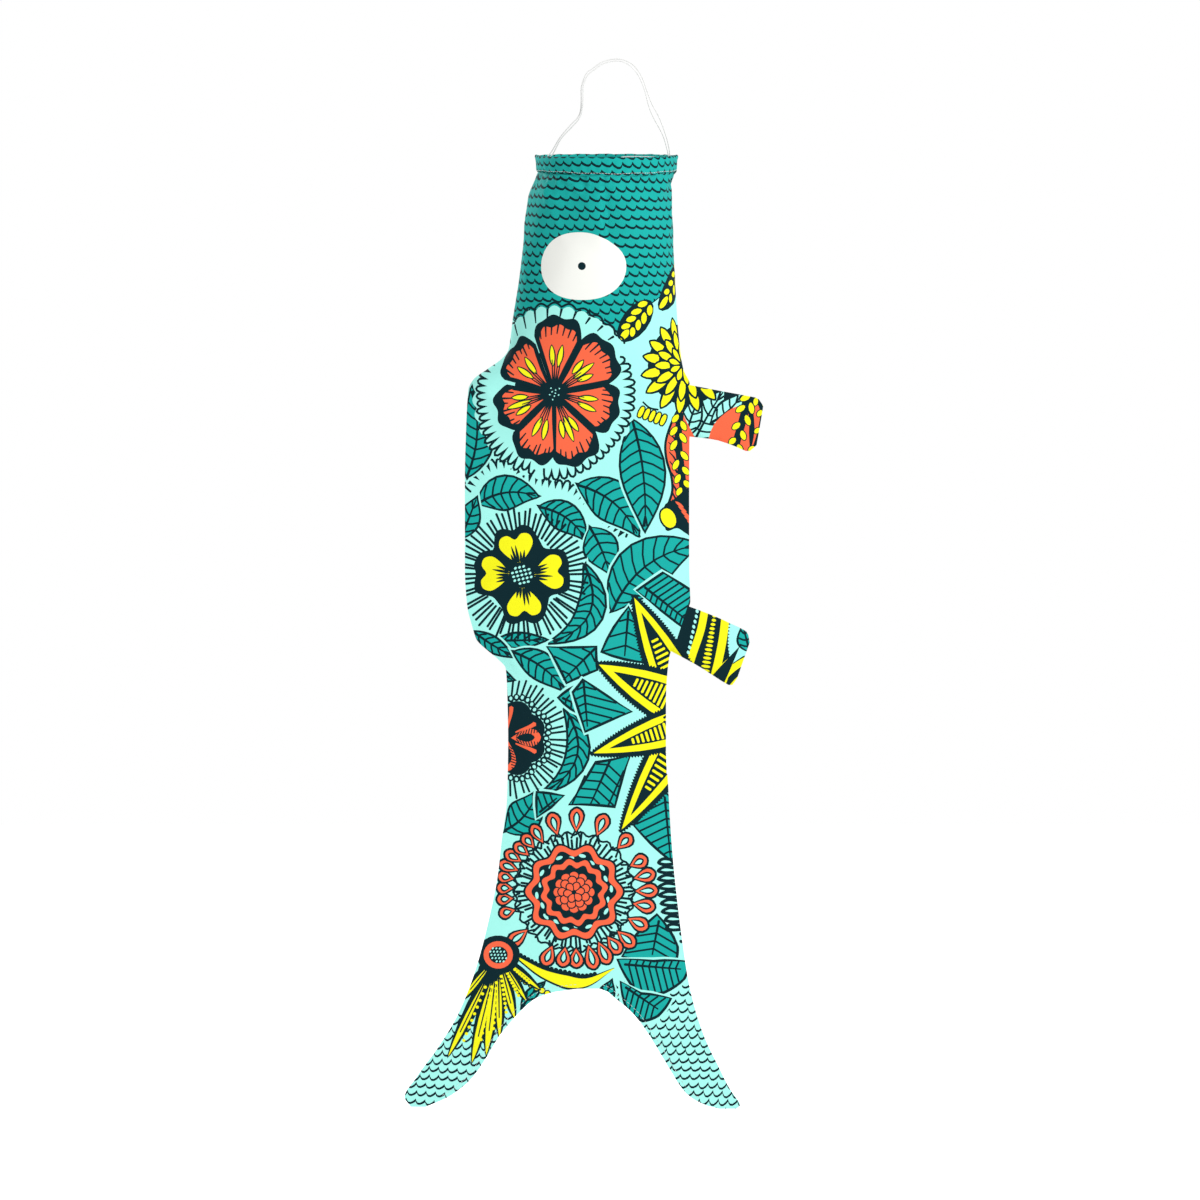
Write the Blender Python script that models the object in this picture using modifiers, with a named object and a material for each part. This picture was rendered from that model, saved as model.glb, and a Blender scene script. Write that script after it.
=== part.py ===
"""Carp streamer: a fish-shaped cloth windsock that hangs mouth up from a thin bridle.

Run with: blender --background --python part.py
Metres, +Z up, +X to the fish's belly side, -Y towards its printed front.
The origin is the point where a hook or a rod holds the bridle.
Distances down the fish are called "down": they start at the mouth's rim.
"""
import math

import bmesh
import bpy
from mathutils import Vector

# Overall sizes
LENGTH = 1.000            # mouth rim to tail tips, along the fish
BODY_WIDTH = 0.236        # dorsal bump to belly edge, laid flat
MOUTH_DIAMETER = 0.147    # over the outside of the hem
LOOP_RISE = 0.098         # hook point to mouth rim

# Cloth and hem
CLOTH = 0.0008            # wall of each cloth solid
HEM_HEIGHT = 0.0165
SEAM_GAP = 0.0003         # between solids that touch on the real thing

# Hoop inside the hem
STRIP_HEADROOM = 0.0045   # height of the hem that the strip leaves free
STRIP_THICKNESS = 0.0008
STRIP_END_GAP = 0.002     # between the strip's two ends, inside the joiner
JOINER_WALL = 0.00035
JOINER_FIT = 0.00025
JOINER_LENGTH = 0.034
JOINER_HEIGHT_SPARE = 0.0012
HOOP_SEGMENTS = 48

# Bridle
STRAND_DIAMETER = 0.0012
STRAND_POINTS = 72
KNOT_RADIUS = 0.0020
KNOT_DOWN = 0.010         # below the mouth's rim

# Woven side label
LABEL_OUT = 0.0195
LABEL_HEIGHT = 0.026
LABEL_THICKNESS = 0.0006
LABEL_BELOW_WAIST = 0.0865    # to the label's middle

# How far the cloth folds each way, in degrees
NECK_SWING = 20
WAIST_SWING = 35
LOBE_SWING = 40
FIN_SWING = 70
FOLD_MARGIN = 0.006       # no row of points lies nearer than this to a fold

# Outline of a fish of nominal size, laid flat: (down, across) in millimetres
NOMINAL_LENGTH = 1000
NOMINAL_WIDTH = 236
NOMINAL_MOUTH = 147
BACK_EDGE = [
    (28, -76), (45, -82), (88, -86.5), (130, -91.5), (171, -98), (203, -102.5), (212, -109),
    (224, -125.5), (234, -139), (245, -144.5), (290, -147), (340, -148.2), (433, -148.2),
    (470, -146), (495, -140), (507, -136), (517, -126), (527, -114), (537, -105.5),
    (560, -104), (612, -103), (674, -104.2), (716, -109.5), (758, -114.5), (800, -123),
    (841, -133.5), (873, -144), (904, -157.5), (935, -176.5), (967, -199.5), (988, -212), (998, -205),
]
BELLY_EDGE = [
    (28, 66.5), (45, 67.5), (88, 69.5), (130, 71.7), (171, 74), (203, 77), (224, 80.5), (239, 87),
    (290, 86.8), (340, 86.5), (433, 86.5), (468, 87.8), (471, 86.8), (520, 67.2), (523, 66.2),
    (548, 63.3), (569, 62.3),
    (621, 62.3), (658, 64.5), (695, 66.5), (737, 69.6), (778, 73.8), (820, 79), (862, 85.3),
    (894, 92.7), (925, 103), (956, 117.8), (977, 128.3), (988, 135.6), (996, 140.5), (1000, 136),
]
FORK_BACK_SIDE = [
    (0, -30), (873, -30), (875, -48), (883, -73.8), (894, -87.4), (904, -96.8), (925, -113.6),
    (946, -126.2), (967, -140.8), (977, -151.3), (988, -167), (998, -190),
]
FORK_BELLY_SIDE = [
    (0, -7), (873, -7), (876, 1), (883, 8.9), (894, 22.5), (904, 31.9), (925, 46.6),
    (946, 59.2), (967, 71.7), (977, 78), (988, 88.5), (996, 104), (1000, 118),
]
FORK_TOP = 873            # where the tail's arch begins
NECK, WAIST, FORK_FOLD = 190, 548, 898    # where the cloth folds across its width

# Half the depth of the open cloth tube, nominal, and how round its section is:
# 0.5 makes an ellipse and 1 a flat lens
HALF_DEPTH = [
    (45, 68), (90, 62), (130, 54), (171, 44), (203, 36), (224, 30), (245, 24), (290, 18), (340, 14),
    (433, 12), (507, 11), (548, 10), (612, 9), (700, 8), (800, 7), (873, 6.5), (904, 6), (967, 4.5), (1000, 3),
]
ROUNDNESS = [(0, 0.5), (90, 0.5), (171, 0.6), (245, 0.8), (340, 1.0), (1000, 1.0)]

# Fins: the upper and lower border of each, from its root at the belly edge outwards
UPPER_FIN_TOP = [(240, 87), (246, 118), (251, 145), (254, 158), (262, 164)]
UPPER_FIN_BOTTOM = [(294, 87), (297, 112), (304, 134), (309.5, 148), (303, 157)]
LOWER_FIN_TOP = [(472, 86.4), (481, 110), (490, 130), (500, 148), (510, 150)]
LOWER_FIN_BOTTOM = [(519, 67.6), (535, 97), (546, 114), (555, 130), (547, 137)]
FIN_HALF_DEPTH = 0.0035
FIN_STEPS = 7
FIN_COLUMNS = 6

# Route of the bridle's two strands from knot to knot: (across, up) in millimetres,
# for the stretch above the mouth
FRONT_ROUTE = [
    (-62, -101), (-56, -96.3), (-47.6, -80.6), (-36.1, -68.1), (-29, -60), (-25.7, -51.3),
    (-24.4, -38.7), (-24, -25), (-19.4, -14), (-12, -8), (-5, -3), (4, 0), (14, 0.6), (23, -3),
    (30, -9.6), (35.3, -18), (40.3, -31), (44.5, -47), (49.5, -59), (58.6, -76), (63, -90), (64.8, -99),
]
REAR_ROUTE = [
    (-63.5, -101), (-57.5, -94), (-48.5, -79), (-37.5, -66), (-30, -58), (-27, -50), (-26.5, -39),
    (-26.2, -26), (-21, -12.5), (-13, -6), (-5.5, -0.8), (4, 2.2), (14, 2.6), (24.5, -1),
    (32.5, -8.5), (38, -18), (42.5, -31), (48, -45), (55, -58), (61.5, -75), (65.2, -89), (66.2, -99),
]
STRAND_SPREAD = 0.0009    # each strand's distance from the bridle's middle plane

COLOURS = {
    "printed_cloth": ((0.02, 0.45, 0.40, 1), 0.75, 0.0),
    "mint_cloth": ((0.39, 0.96, 0.85, 1), 0.75, 0.0),
    "hoop_plastic": ((0.80, 0.80, 0.78, 1), 0.45, 0.0),
    "thread": ((0.88, 0.88, 0.86, 1), 0.8, 0.0),
    "label_cloth": ((0.90, 0.90, 0.88, 1), 0.7, 0.0),
}

NECK_DOWN, WAIST_DOWN, FORK_FOLD_DOWN = (
    fold * LENGTH / NOMINAL_LENGTH for fold in (NECK, WAIST, FORK_FOLD)
)
LABEL_DOWN = WAIST_DOWN + LABEL_BELOW_WAIST
STRIP_HEIGHT = HEM_HEIGHT - STRIP_HEADROOM
CASING_CAVITY = STRIP_THICKNESS + 2 * (JOINER_FIT + JOINER_WALL + SEAM_GAP)
OUTER_WALL_RADIUS = MOUTH_DIAMETER / 2 - CLOTH / 2
INNER_WALL_RADIUS = OUTER_WALL_RADIUS - CLOTH - CASING_CAVITY
HOOP_RADIUS = (OUTER_WALL_RADIUS + INNER_WALL_RADIUS) / 2
HEAD_TOP_RADIUS = INNER_WALL_RADIUS + CLOTH / 2
HEAD_TOP_DOWN = HEM_HEIGHT + SEAM_GAP
MOUTH_Z = -LOOP_RISE


# ---------------------------------------------------------------- scene helpers

def clear_scene():
    for obj in list(bpy.data.objects):
        bpy.data.objects.remove(obj, do_unlink=True)


def make_material(name):
    colour, roughness, metallic = COLOURS[name]
    material = bpy.data.materials.new(name)
    material.use_nodes = True
    shader = material.node_tree.nodes["Principled BSDF"]
    shader.inputs["Base Color"].default_value = colour
    shader.inputs["Roughness"].default_value = roughness
    shader.inputs["Metallic"].default_value = metallic
    material.diffuse_color = colour
    return material


def make_pivot(collection, name, at, parent=None):
    """An empty on a joint's axis, which carries the pieces that move there."""
    pivot = bpy.data.objects.new(name, None)
    pivot.empty_display_size = 0.02
    pivot["world"] = at
    collection.objects.link(pivot)
    pivot.location = at
    if parent:
        pivot.parent = parent
        pivot.location = Vector(at) - Vector(parent["world"])
    return pivot


def carry(obj, collection, pivot, material):
    """Puts a piece in the part's collection, under the empty that carries it."""
    collection.objects.link(obj)
    obj.parent = pivot
    obj.location = obj.location - Vector(pivot["world"])
    obj.data.materials.append(material)
    return obj


# ------------------------------------------------------------- outline and depth

def smooth_value(points, x):
    """A curve through the points that never overshoots them."""
    if x <= points[0][0]:
        return points[0][1]
    if x >= points[-1][0]:
        return points[-1][1]
    slopes = [(b[1] - a[1]) / (b[0] - a[0]) for a, b in zip(points, points[1:])]
    i = max(k for k, point in enumerate(points[:-1]) if point[0] <= x)
    start = end = slopes[i]
    if i > 0:
        start = harmonic(slopes[i - 1], slopes[i])
    if i < len(slopes) - 1:
        end = harmonic(slopes[i], slopes[i + 1])
    width = points[i + 1][0] - points[i][0]
    u = (x - points[i][0]) / width
    return (
        points[i][1] * (1 + 2 * u) * (1 - u) ** 2
        + points[i + 1][1] * u * u * (3 - 2 * u)
        + width * start * u * (1 - u) ** 2
        - width * end * u * u * (1 - u)
    )


def harmonic(a, b):
    return 0.0 if a * b <= 0 else 2 * a * b / (a + b)


def nominal(down):
    return down / LENGTH * NOMINAL_LENGTH


def real_down(nominal_down):
    return nominal_down * LENGTH / NOMINAL_LENGTH


def width_scale(down):
    """Metres for each nominal millimetre across: the head follows the mouth, the body its width."""
    share = min(1.0, max(0.0, down / NECK_DOWN))
    mouth = MOUTH_DIAMETER / NOMINAL_MOUTH
    body = BODY_WIDTH / NOMINAL_WIDTH
    return mouth + (body - mouth) * share


def head_top_nominal(sign):
    return (nominal(HEAD_TOP_DOWN), sign * HEAD_TOP_RADIUS / width_scale(HEAD_TOP_DOWN))


def across(edge, down):
    return smooth_value(edge, nominal(down)) * width_scale(down)


def back_edge(down):
    return across([head_top_nominal(-1)] + BACK_EDGE, down)


def belly_edge(down):
    return across([head_top_nominal(1)] + BELLY_EDGE, down)


def fork_back_side(down):
    return across(FORK_BACK_SIDE, down)


def fork_belly_side(down):
    return across(FORK_BELLY_SIDE, down)


def half_depth(down):
    return across([head_top_nominal(1)] + HALF_DEPTH, down)


def cloth_point(down, angle, side, inner):
    """A point of the cloth tube's section at this distance down. Angle 0 is the back edge,
    pi the belly edge, and side is -1 on the fish's front and 1 on its rear."""
    left, right = back_edge(down), belly_edge(down)
    wall = CLOTH if inner else 0
    x = (left + right) / 2 - ((right - left) / 2 - wall) * math.cos(angle)
    fullness = abs(math.sin(angle)) ** (2 * smooth_value(ROUNDNESS, nominal(down)))
    y = SEAM_GAP / 2 + (half_depth(down) - wall) * fullness
    return Vector((x, side * y, MOUTH_Z - down))


def folded_point(down, slope, angle, side, inner):
    """A cloth point on a row that slopes away from a fold, so that the fold can close."""
    y = abs(cloth_point(down, angle, side, inner).y)
    return cloth_point(down + slope * y, angle, side, inner)


def angle_at(down, x):
    left, right = back_edge(down), belly_edge(down)
    return math.acos(max(-1.0, min(1.0, (left + right - 2 * x) / (right - left))))


# ------------------------------------------------------------------ cloth solids

def shell_mesh(name, outer, inner, missing=()):
    """One closed shell from two grids of points, outer[row][column] and inner[row][column].
    missing holds the cells that are cut out."""
    rows, columns = len(outer), len(outer[0])
    cells = {(r, c) for r in range(rows - 1) for c in range(columns - 1)} - set(missing)
    shell = bmesh.new()
    verts = {}

    def vert(layer, r, c):
        if (layer, r, c) not in verts:
            verts[layer, r, c] = shell.verts.new((outer, inner)[layer][r][c])
        return verts[layer, r, c]

    for r, c in sorted(cells):
        corners = [(r, c), (r, c + 1), (r + 1, c + 1), (r + 1, c)]
        neighbours = [(r - 1, c), (r, c + 1), (r + 1, c), (r, c - 1)]
        shell.faces.new([vert(0, *corner) for corner in corners])
        shell.faces.new([vert(1, *corner) for corner in reversed(corners)])
        for k, neighbour in enumerate(neighbours):
            if neighbour not in cells:
                a, b = corners[k], corners[(k + 1) % 4]
                shell.faces.new([vert(0, *b), vert(0, *a), vert(1, *a), vert(1, *b)])
    if shell.calc_volume(signed=True) < 0:
        bmesh.ops.reverse_faces(shell, faces=shell.faces)
    mesh = bpy.data.meshes.new(name)
    shell.to_mesh(mesh)
    shell.free()
    mesh.shade_smooth()
    mesh.set_sharp_from_angle(angle=math.radians(40))
    return mesh


def row_stations(start, end, start_slope, end_slope):
    """(down, slope) rows between two folds: the outline's own stations that lie clear of both."""
    edges = BACK_EDGE + BELLY_EDGE
    if end > real_down(FORK_TOP):
        edges = edges + FORK_BACK_SIDE + FORK_BELLY_SIDE
    stations = sorted({real_down(point[0]) for point in edges})
    first = start + start_slope * half_depth(start) + FOLD_MARGIN
    last = end + end_slope * half_depth(end) - FOLD_MARGIN
    rows = [(start, start_slope)]
    for down in stations:
        if first < down < last and down - rows[-1][0] > FOLD_MARGIN / 3:
            rows.append((down, 0))
    return rows + [(end, end_slope)]


def cloth_panel(name, rows, borders, counts, side, missing_from=None):
    """A cloth panel between borders, which are functions of the distance down, with counts of
    columns between them. Where there are three strips, the middle one stops at missing_from."""
    grids = []
    for inner in (False, True):
        grid = []
        for down, slope in rows:
            angles = [angle_at(down, border(down)) for border in borders]
            line = [angles[0]]
            for a, b, count in zip(angles, angles[1:], counts):
                line += [a + (b - a) * k / count for k in range(1, count + 1)]
            grid.append([folded_point(down, slope, angle, side, inner) for angle in line])
        grids.append(grid)
    missing = set()
    if missing_from is not None:
        for r in range(len(rows) - 1):
            if rows[r][0] >= missing_from - 1e-6:
                missing |= {(r, c) for c in range(counts[0], counts[0] + counts[1])}
    return bpy.data.objects.new(name, shell_mesh(name, grids[0], grids[1], missing))


def fold_slope(swing):
    return math.tan(math.radians(swing) / 2)


def both_sides(name, make, collection, pivot, material):
    for side, label in ((-1, "front"), (1, "rear")):
        carry(make(f"{name}_{label}", side), collection, pivot, material)


def head_panel(name, side):
    rows = row_stations(HEAD_TOP_DOWN, NECK_DOWN - SEAM_GAP / 2, 0, -fold_slope(NECK_SWING))
    return cloth_panel(name, rows, (back_edge, belly_edge), (16,), side)


def body_panel(name, side):
    rows = row_stations(
        NECK_DOWN + SEAM_GAP / 2, WAIST_DOWN - SEAM_GAP / 2, fold_slope(NECK_SWING), -fold_slope(WAIST_SWING)
    )
    return cloth_panel(name, rows, (back_edge, belly_edge), (12,), side)


def tail_panel(name, side):
    rows = row_stations(
        WAIST_DOWN + SEAM_GAP / 2, FORK_FOLD_DOWN - SEAM_GAP / 2, fold_slope(WAIST_SWING), -fold_slope(LOBE_SWING)
    )
    borders = (back_edge, fork_back_side, fork_belly_side, belly_edge)
    return cloth_panel(name, rows, borders, (5, 1, 4), side, real_down(FORK_TOP))


def lobe_rows():
    return row_stations(FORK_FOLD_DOWN + SEAM_GAP / 2, real_down(NOMINAL_LENGTH), fold_slope(LOBE_SWING), 0)


def back_lobe_panel(name, side):
    return cloth_panel(name, lobe_rows(), (back_edge, fork_back_side), (5,), side)


def belly_lobe_panel(name, side):
    return cloth_panel(name, lobe_rows(), (fork_belly_side, belly_edge), (4,), side)


# -------------------------------------------------------------------------- fins

def along(border, u):
    """The point a share u of the way along a border, in metres: (down, across)."""
    steps = [(k, point) for k, point in enumerate(border)]
    at = u * (len(border) - 1)
    down = smooth_value([(k, point[0]) for k, point in steps], at)
    x = smooth_value([(k, point[1]) for k, point in steps], at)
    down = real_down(down)
    return Vector((down, x * width_scale(down)))


def root_ends(top, bottom):
    """The two ends of a fin's hinge line, just off the belly edge: (down, across)."""
    downs = (along(top, 0).x, along(bottom, 0).x)
    return [Vector((down, belly_edge(down) + SEAM_GAP / 2)) for down in downs]


def fin_point(top, bottom, u, v, side, inner):
    """A point of a fin's pocket: u runs from its root to its tip, v from its top to its bottom."""
    reach = (along(top, 1) - along(top, 0)).length
    height = (along(bottom, u) - along(top, u)).length
    wall = CLOTH if inner else 0
    v_in = 0.5 + (v - 0.5) * (1 - 2 * wall / height)
    u_in = u * (1 - wall / reach)
    place = along(top, u_in).lerp(along(bottom, u_in), v_in)
    fullness = math.sqrt(max(0.0, 1 - (2 * v - 1) ** 2)) * math.sqrt(max(0.0, 1 - u ** 4))
    y = SEAM_GAP / 2 + (FIN_HALF_DEPTH - wall) * fullness
    ends = root_ends(top, bottom)
    root = (ends[1] - ends[0]).normalized()
    outwards = Vector((-root.y, root.x))
    drawn_root = along(top, 0).lerp(along(bottom, 0), v_in)
    to_edge = ends[0].lerp(ends[1], v_in) - drawn_root
    clear = SEAM_GAP / 2 + y * fold_slope(FIN_SWING)
    place = place + (to_edge + outwards * clear) * (1 - u) ** 2
    return Vector((place.y, side * y, MOUTH_Z - place.x))


def fin_panel(name, top, bottom, side):
    grids = []
    for inner in (False, True):
        grids.append([
            [fin_point(top, bottom, (r / FIN_STEPS) ** 1.2, c / FIN_COLUMNS, side, inner) for c in range(FIN_COLUMNS + 1)]
            for r in range(FIN_STEPS + 1)
        ])
    return bpy.data.objects.new(name, shell_mesh(name, grids[0], grids[1]))


def upper_fin_panel(name, side):
    return fin_panel(name, UPPER_FIN_TOP, UPPER_FIN_BOTTOM, side)


def lower_fin_panel(name, side):
    return fin_panel(name, LOWER_FIN_TOP, LOWER_FIN_BOTTOM, side)


def fin_root(top, bottom):
    """Where a fin's hinge line is: its upper end, which is on the joint's axis."""
    down, x = root_ends(top, bottom)[0]
    return (x, 0, MOUTH_Z - down)


# ----------------------------------------------------------------- mouth and hoop

def profile_object(name, points):
    """An open or closed profile in the XZ plane, as a mesh of edges."""
    mesh = bpy.data.meshes.new(name)
    edges = [(k, k + 1) for k in range(len(points) - 1)]
    mesh.from_pydata([(r, 0, z) for r, z in points], edges, [])
    return bpy.data.objects.new(name, mesh)


def turn(obj, angle, steps):
    screw = obj.modifiers.new("turn", "SCREW")
    screw.axis = "Z"
    screw.angle = angle
    screw.steps = steps
    screw.render_steps = steps
    screw.use_smooth_shade = True


def thicken(obj, thickness):
    shell = obj.modifiers.new("thickness", "SOLIDIFY")
    shell.thickness = thickness
    shell.offset = 0
    shell.use_even_offset = True


def hem_casing(name, side):
    """Half of the folded hem: an outer wall, a fold over the rim and an inner wall."""
    fold = -CLOTH / 2
    hem = profile_object(name, [
        (OUTER_WALL_RADIUS, -HEM_HEIGHT), (OUTER_WALL_RADIUS, fold),
        (INNER_WALL_RADIUS, fold), (INNER_WALL_RADIUS, -HEM_HEIGHT),
    ])
    seam = math.asin(SEAM_GAP / 2 / INNER_WALL_RADIUS)
    turn(hem, math.pi - 2 * seam, HOOP_SEGMENTS // 2)
    thicken(hem, CLOTH)
    hem.rotation_euler.z = seam if side > 0 else math.pi + seam
    hem.location.z = MOUTH_Z
    return hem


def hoop_strip():
    """The springy flat strip that holds the mouth round, ends butted at the rear."""
    middle = -HEM_HEIGHT / 2
    strip = profile_object("mouth_hoop", [
        (HOOP_RADIUS, middle - STRIP_HEIGHT / 2), (HOOP_RADIUS, middle + STRIP_HEIGHT / 2),
    ])
    gap = STRIP_END_GAP / HOOP_RADIUS
    turn(strip, 2 * math.pi - gap, HOOP_SEGMENTS)
    thicken(strip, STRIP_THICKNESS)
    strip.rotation_euler.z = math.pi / 2 + gap / 2
    strip.location.z = MOUTH_Z
    return strip


def hoop_joiner():
    """The sleeve over the strip's two ends: a flat tube bent to the hoop's radius."""
    half = STRIP_THICKNESS / 2 + JOINER_FIT + JOINER_WALL / 2
    tall = (STRIP_HEIGHT + JOINER_HEIGHT_SPARE) / 2 + JOINER_WALL / 2
    middle = -HEM_HEIGHT / 2
    corners = [
        (HOOP_RADIUS + half, middle - tall), (HOOP_RADIUS + half, middle + tall),
        (HOOP_RADIUS - half, middle + tall), (HOOP_RADIUS - half, middle - tall),
    ]
    sleeve = profile_object("hoop_joiner", corners)
    sleeve.data.clear_geometry()
    sleeve.data.from_pydata([(r, 0, z) for r, z in corners], [(0, 1), (1, 2), (2, 3), (3, 0)], [])
    angle = JOINER_LENGTH / HOOP_RADIUS
    turn(sleeve, angle, 5)
    thicken(sleeve, JOINER_WALL)
    sleeve.rotation_euler.z = math.pi / 2 - angle / 2
    sleeve.location.z = MOUTH_Z
    return sleeve


# ------------------------------------------------------------------------ bridle

def knot_place(sign):
    x = INNER_WALL_RADIUS - CLOTH / 2 - SEAM_GAP - KNOT_RADIUS
    return Vector((sign * x, 0, MOUTH_Z - KNOT_DOWN))


def knot(name, sign):
    ball = bmesh.new()
    bmesh.ops.create_uvsphere(ball, u_segments=12, v_segments=8, radius=KNOT_RADIUS)
    mesh = bpy.data.meshes.new(name)
    ball.to_mesh(mesh)
    ball.free()
    mesh.shade_smooth()
    obj = bpy.data.objects.new(name, mesh)
    obj.location = knot_place(sign)
    return obj


def catmull(points, u):
    """A smooth curve through the points, u from 0 to the number of spans."""
    i = min(int(u), len(points) - 2)
    f = u - i
    before = points[i - 1] if i > 0 else 2 * points[0] - points[1]
    after = points[i + 2] if i + 2 < len(points) else 2 * points[-1] - points[-2]
    a, b = points[i], points[i + 1]
    return 0.5 * (
        2 * a + (b - before) * f
        + (2 * before - 5 * a + 4 * b - after) * f ** 2
        + (3 * a - before - 3 * b + after) * f ** 3
    )


def even_points(points, count):
    """Evenly spaced points on the smooth curve through the route's own points."""
    fine = [catmull(points, k / 20) for k in range(20 * (len(points) - 1) + 1)]
    reach = [0.0]
    for a, b in zip(fine, fine[1:]):
        reach.append(reach[-1] + (b - a).length)
    found = []
    k = 0
    for n in range(count):
        target = reach[-1] * n / (count - 1)
        while k < len(reach) - 2 and reach[k + 1] < target:
            k += 1
        share = (target - reach[k]) / max(reach[k + 1] - reach[k], 1e-9)
        found.append(fine[k].lerp(fine[k + 1], min(1.0, share)))
    return found


def bridle_strand(name, route, side):
    """One strand of the doubled thread, from the top of one knot over the hook to the other."""
    lift = Vector((0, 0, KNOT_RADIUS + STRAND_DIAMETER / 4 + SEAM_GAP))
    y = side * STRAND_SPREAD
    ends = [knot_place(sign) + lift + Vector((0, y, 0)) for sign in (-1, 1)]
    points = [ends[0]] + [Vector((x / 1000, y, z / 1000)) for x, z in route] + [ends[1]]
    curve = bpy.data.curves.new(name, "CURVE")
    curve.dimensions = "3D"
    curve.bevel_depth = STRAND_DIAMETER / 2
    curve.bevel_resolution = 2
    curve.use_fill_caps = True
    places = even_points(points, STRAND_POINTS)
    spline = curve.splines.new("POLY")
    spline.points.add(len(places) - 1)
    for point, place in zip(spline.points, places):
        point.co = (*place, 1)
    return bpy.data.objects.new(name, curve)


# ------------------------------------------------------------------------- label

def side_label():
    """The woven label caught in the belly seam of the tail."""
    slab = bmesh.new()
    bmesh.ops.create_cube(slab, size=1)
    bmesh.ops.scale(slab, vec=(LABEL_OUT, LABEL_THICKNESS, LABEL_HEIGHT), verts=slab.verts)
    mesh = bpy.data.meshes.new("side_label")
    slab.to_mesh(mesh)
    slab.free()
    label = bpy.data.objects.new("side_label", mesh)
    edge = max(belly_edge(LABEL_DOWN + k * LABEL_HEIGHT / 8) for k in range(-4, 5))
    label.location = (edge + SEAM_GAP + LABEL_OUT / 2, 0, MOUTH_Z - LABEL_DOWN)
    return label


# -------------------------------------------------------------------- the streamer

def build():
    clear_scene()
    parts = bpy.data.collections.new("carp_streamer")
    bpy.context.scene.collection.children.link(parts)
    look = {name: make_material(name) for name in COLOURS}

    hook = make_pivot(parts, "hook_point", (0, 0, 0))
    mouth = make_pivot(parts, "bridle_swing_axis", (0, 0, MOUTH_Z - KNOT_DOWN), hook)
    neck = make_pivot(parts, "neck_axis", (0, 0, MOUTH_Z - NECK_DOWN), mouth)
    waist = make_pivot(parts, "waist_axis", (0, 0, MOUTH_Z - WAIST_DOWN), neck)
    back_fold = make_pivot(parts, "back_lobe_axis", (0, 0, MOUTH_Z - FORK_FOLD_DOWN), waist)
    belly_fold = make_pivot(parts, "belly_lobe_axis", (0, 0, MOUTH_Z - FORK_FOLD_DOWN), waist)
    upper_root = make_pivot(parts, "upper_fin_axis", fin_root(UPPER_FIN_TOP, UPPER_FIN_BOTTOM), neck)
    lower_root = make_pivot(parts, "lower_fin_axis", fin_root(LOWER_FIN_TOP, LOWER_FIN_BOTTOM), neck)

    carry(bridle_strand("bridle_strand_front", FRONT_ROUTE, -1), parts, hook, look["thread"])
    carry(bridle_strand("bridle_strand_rear", REAR_ROUTE, 1), parts, hook, look["thread"])
    carry(knot("bridle_knot_left", -1), parts, mouth, look["thread"])
    carry(knot("bridle_knot_right", 1), parts, mouth, look["thread"])
    carry(hoop_strip(), parts, mouth, look["hoop_plastic"])
    carry(hoop_joiner(), parts, mouth, look["hoop_plastic"])
    both_sides("mouth_hem", hem_casing, parts, mouth, look["printed_cloth"])
    both_sides("head", head_panel, parts, mouth, look["printed_cloth"])
    both_sides("body", body_panel, parts, neck, look["printed_cloth"])
    both_sides("upper_fin", upper_fin_panel, parts, upper_root, look["printed_cloth"])
    both_sides("lower_fin", lower_fin_panel, parts, lower_root, look["printed_cloth"])
    both_sides("tail", tail_panel, parts, waist, look["mint_cloth"])
    both_sides("back_tail_lobe", back_lobe_panel, parts, back_fold, look["mint_cloth"])
    both_sides("belly_tail_lobe", belly_lobe_panel, parts, belly_fold, look["mint_cloth"])
    carry(side_label(), parts, waist, look["label_cloth"])


build()
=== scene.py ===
"""The looks of the carp streamer: printed cloth, stitching, thread bridle and woven label.

A place on the cloth is given flat, as it lay when it was printed, in millimetres: "across" runs
towards the fish's belly from the line under the hook, "down" starts at the mouth's rim.
"""
import math

import bpy
import numpy as np
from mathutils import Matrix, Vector
from mathutils.geometry import delaunay_2d_cdt


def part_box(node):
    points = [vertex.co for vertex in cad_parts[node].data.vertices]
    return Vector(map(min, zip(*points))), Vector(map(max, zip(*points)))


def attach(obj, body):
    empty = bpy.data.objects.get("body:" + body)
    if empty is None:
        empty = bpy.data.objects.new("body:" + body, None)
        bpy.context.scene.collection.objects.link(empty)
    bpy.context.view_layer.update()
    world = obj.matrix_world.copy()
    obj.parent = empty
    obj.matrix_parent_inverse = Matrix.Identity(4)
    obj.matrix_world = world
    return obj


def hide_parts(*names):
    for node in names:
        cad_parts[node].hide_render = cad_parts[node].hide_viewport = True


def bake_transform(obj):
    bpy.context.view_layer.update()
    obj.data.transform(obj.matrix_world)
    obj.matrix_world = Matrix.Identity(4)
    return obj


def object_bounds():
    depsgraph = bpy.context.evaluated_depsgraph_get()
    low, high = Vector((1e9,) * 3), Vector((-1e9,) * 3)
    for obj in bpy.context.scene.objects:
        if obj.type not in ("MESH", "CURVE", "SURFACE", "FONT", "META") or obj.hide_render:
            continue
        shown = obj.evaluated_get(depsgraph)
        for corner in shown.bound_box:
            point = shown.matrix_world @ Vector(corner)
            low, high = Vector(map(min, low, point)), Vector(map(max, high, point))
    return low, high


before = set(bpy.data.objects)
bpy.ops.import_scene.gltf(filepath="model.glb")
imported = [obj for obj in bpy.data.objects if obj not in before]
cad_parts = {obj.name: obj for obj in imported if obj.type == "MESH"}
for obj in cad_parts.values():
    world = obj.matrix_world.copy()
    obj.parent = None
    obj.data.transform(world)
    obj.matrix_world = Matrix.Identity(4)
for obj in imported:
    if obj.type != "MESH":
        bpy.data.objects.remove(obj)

CAD_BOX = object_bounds()
MM = 0.001

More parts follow.
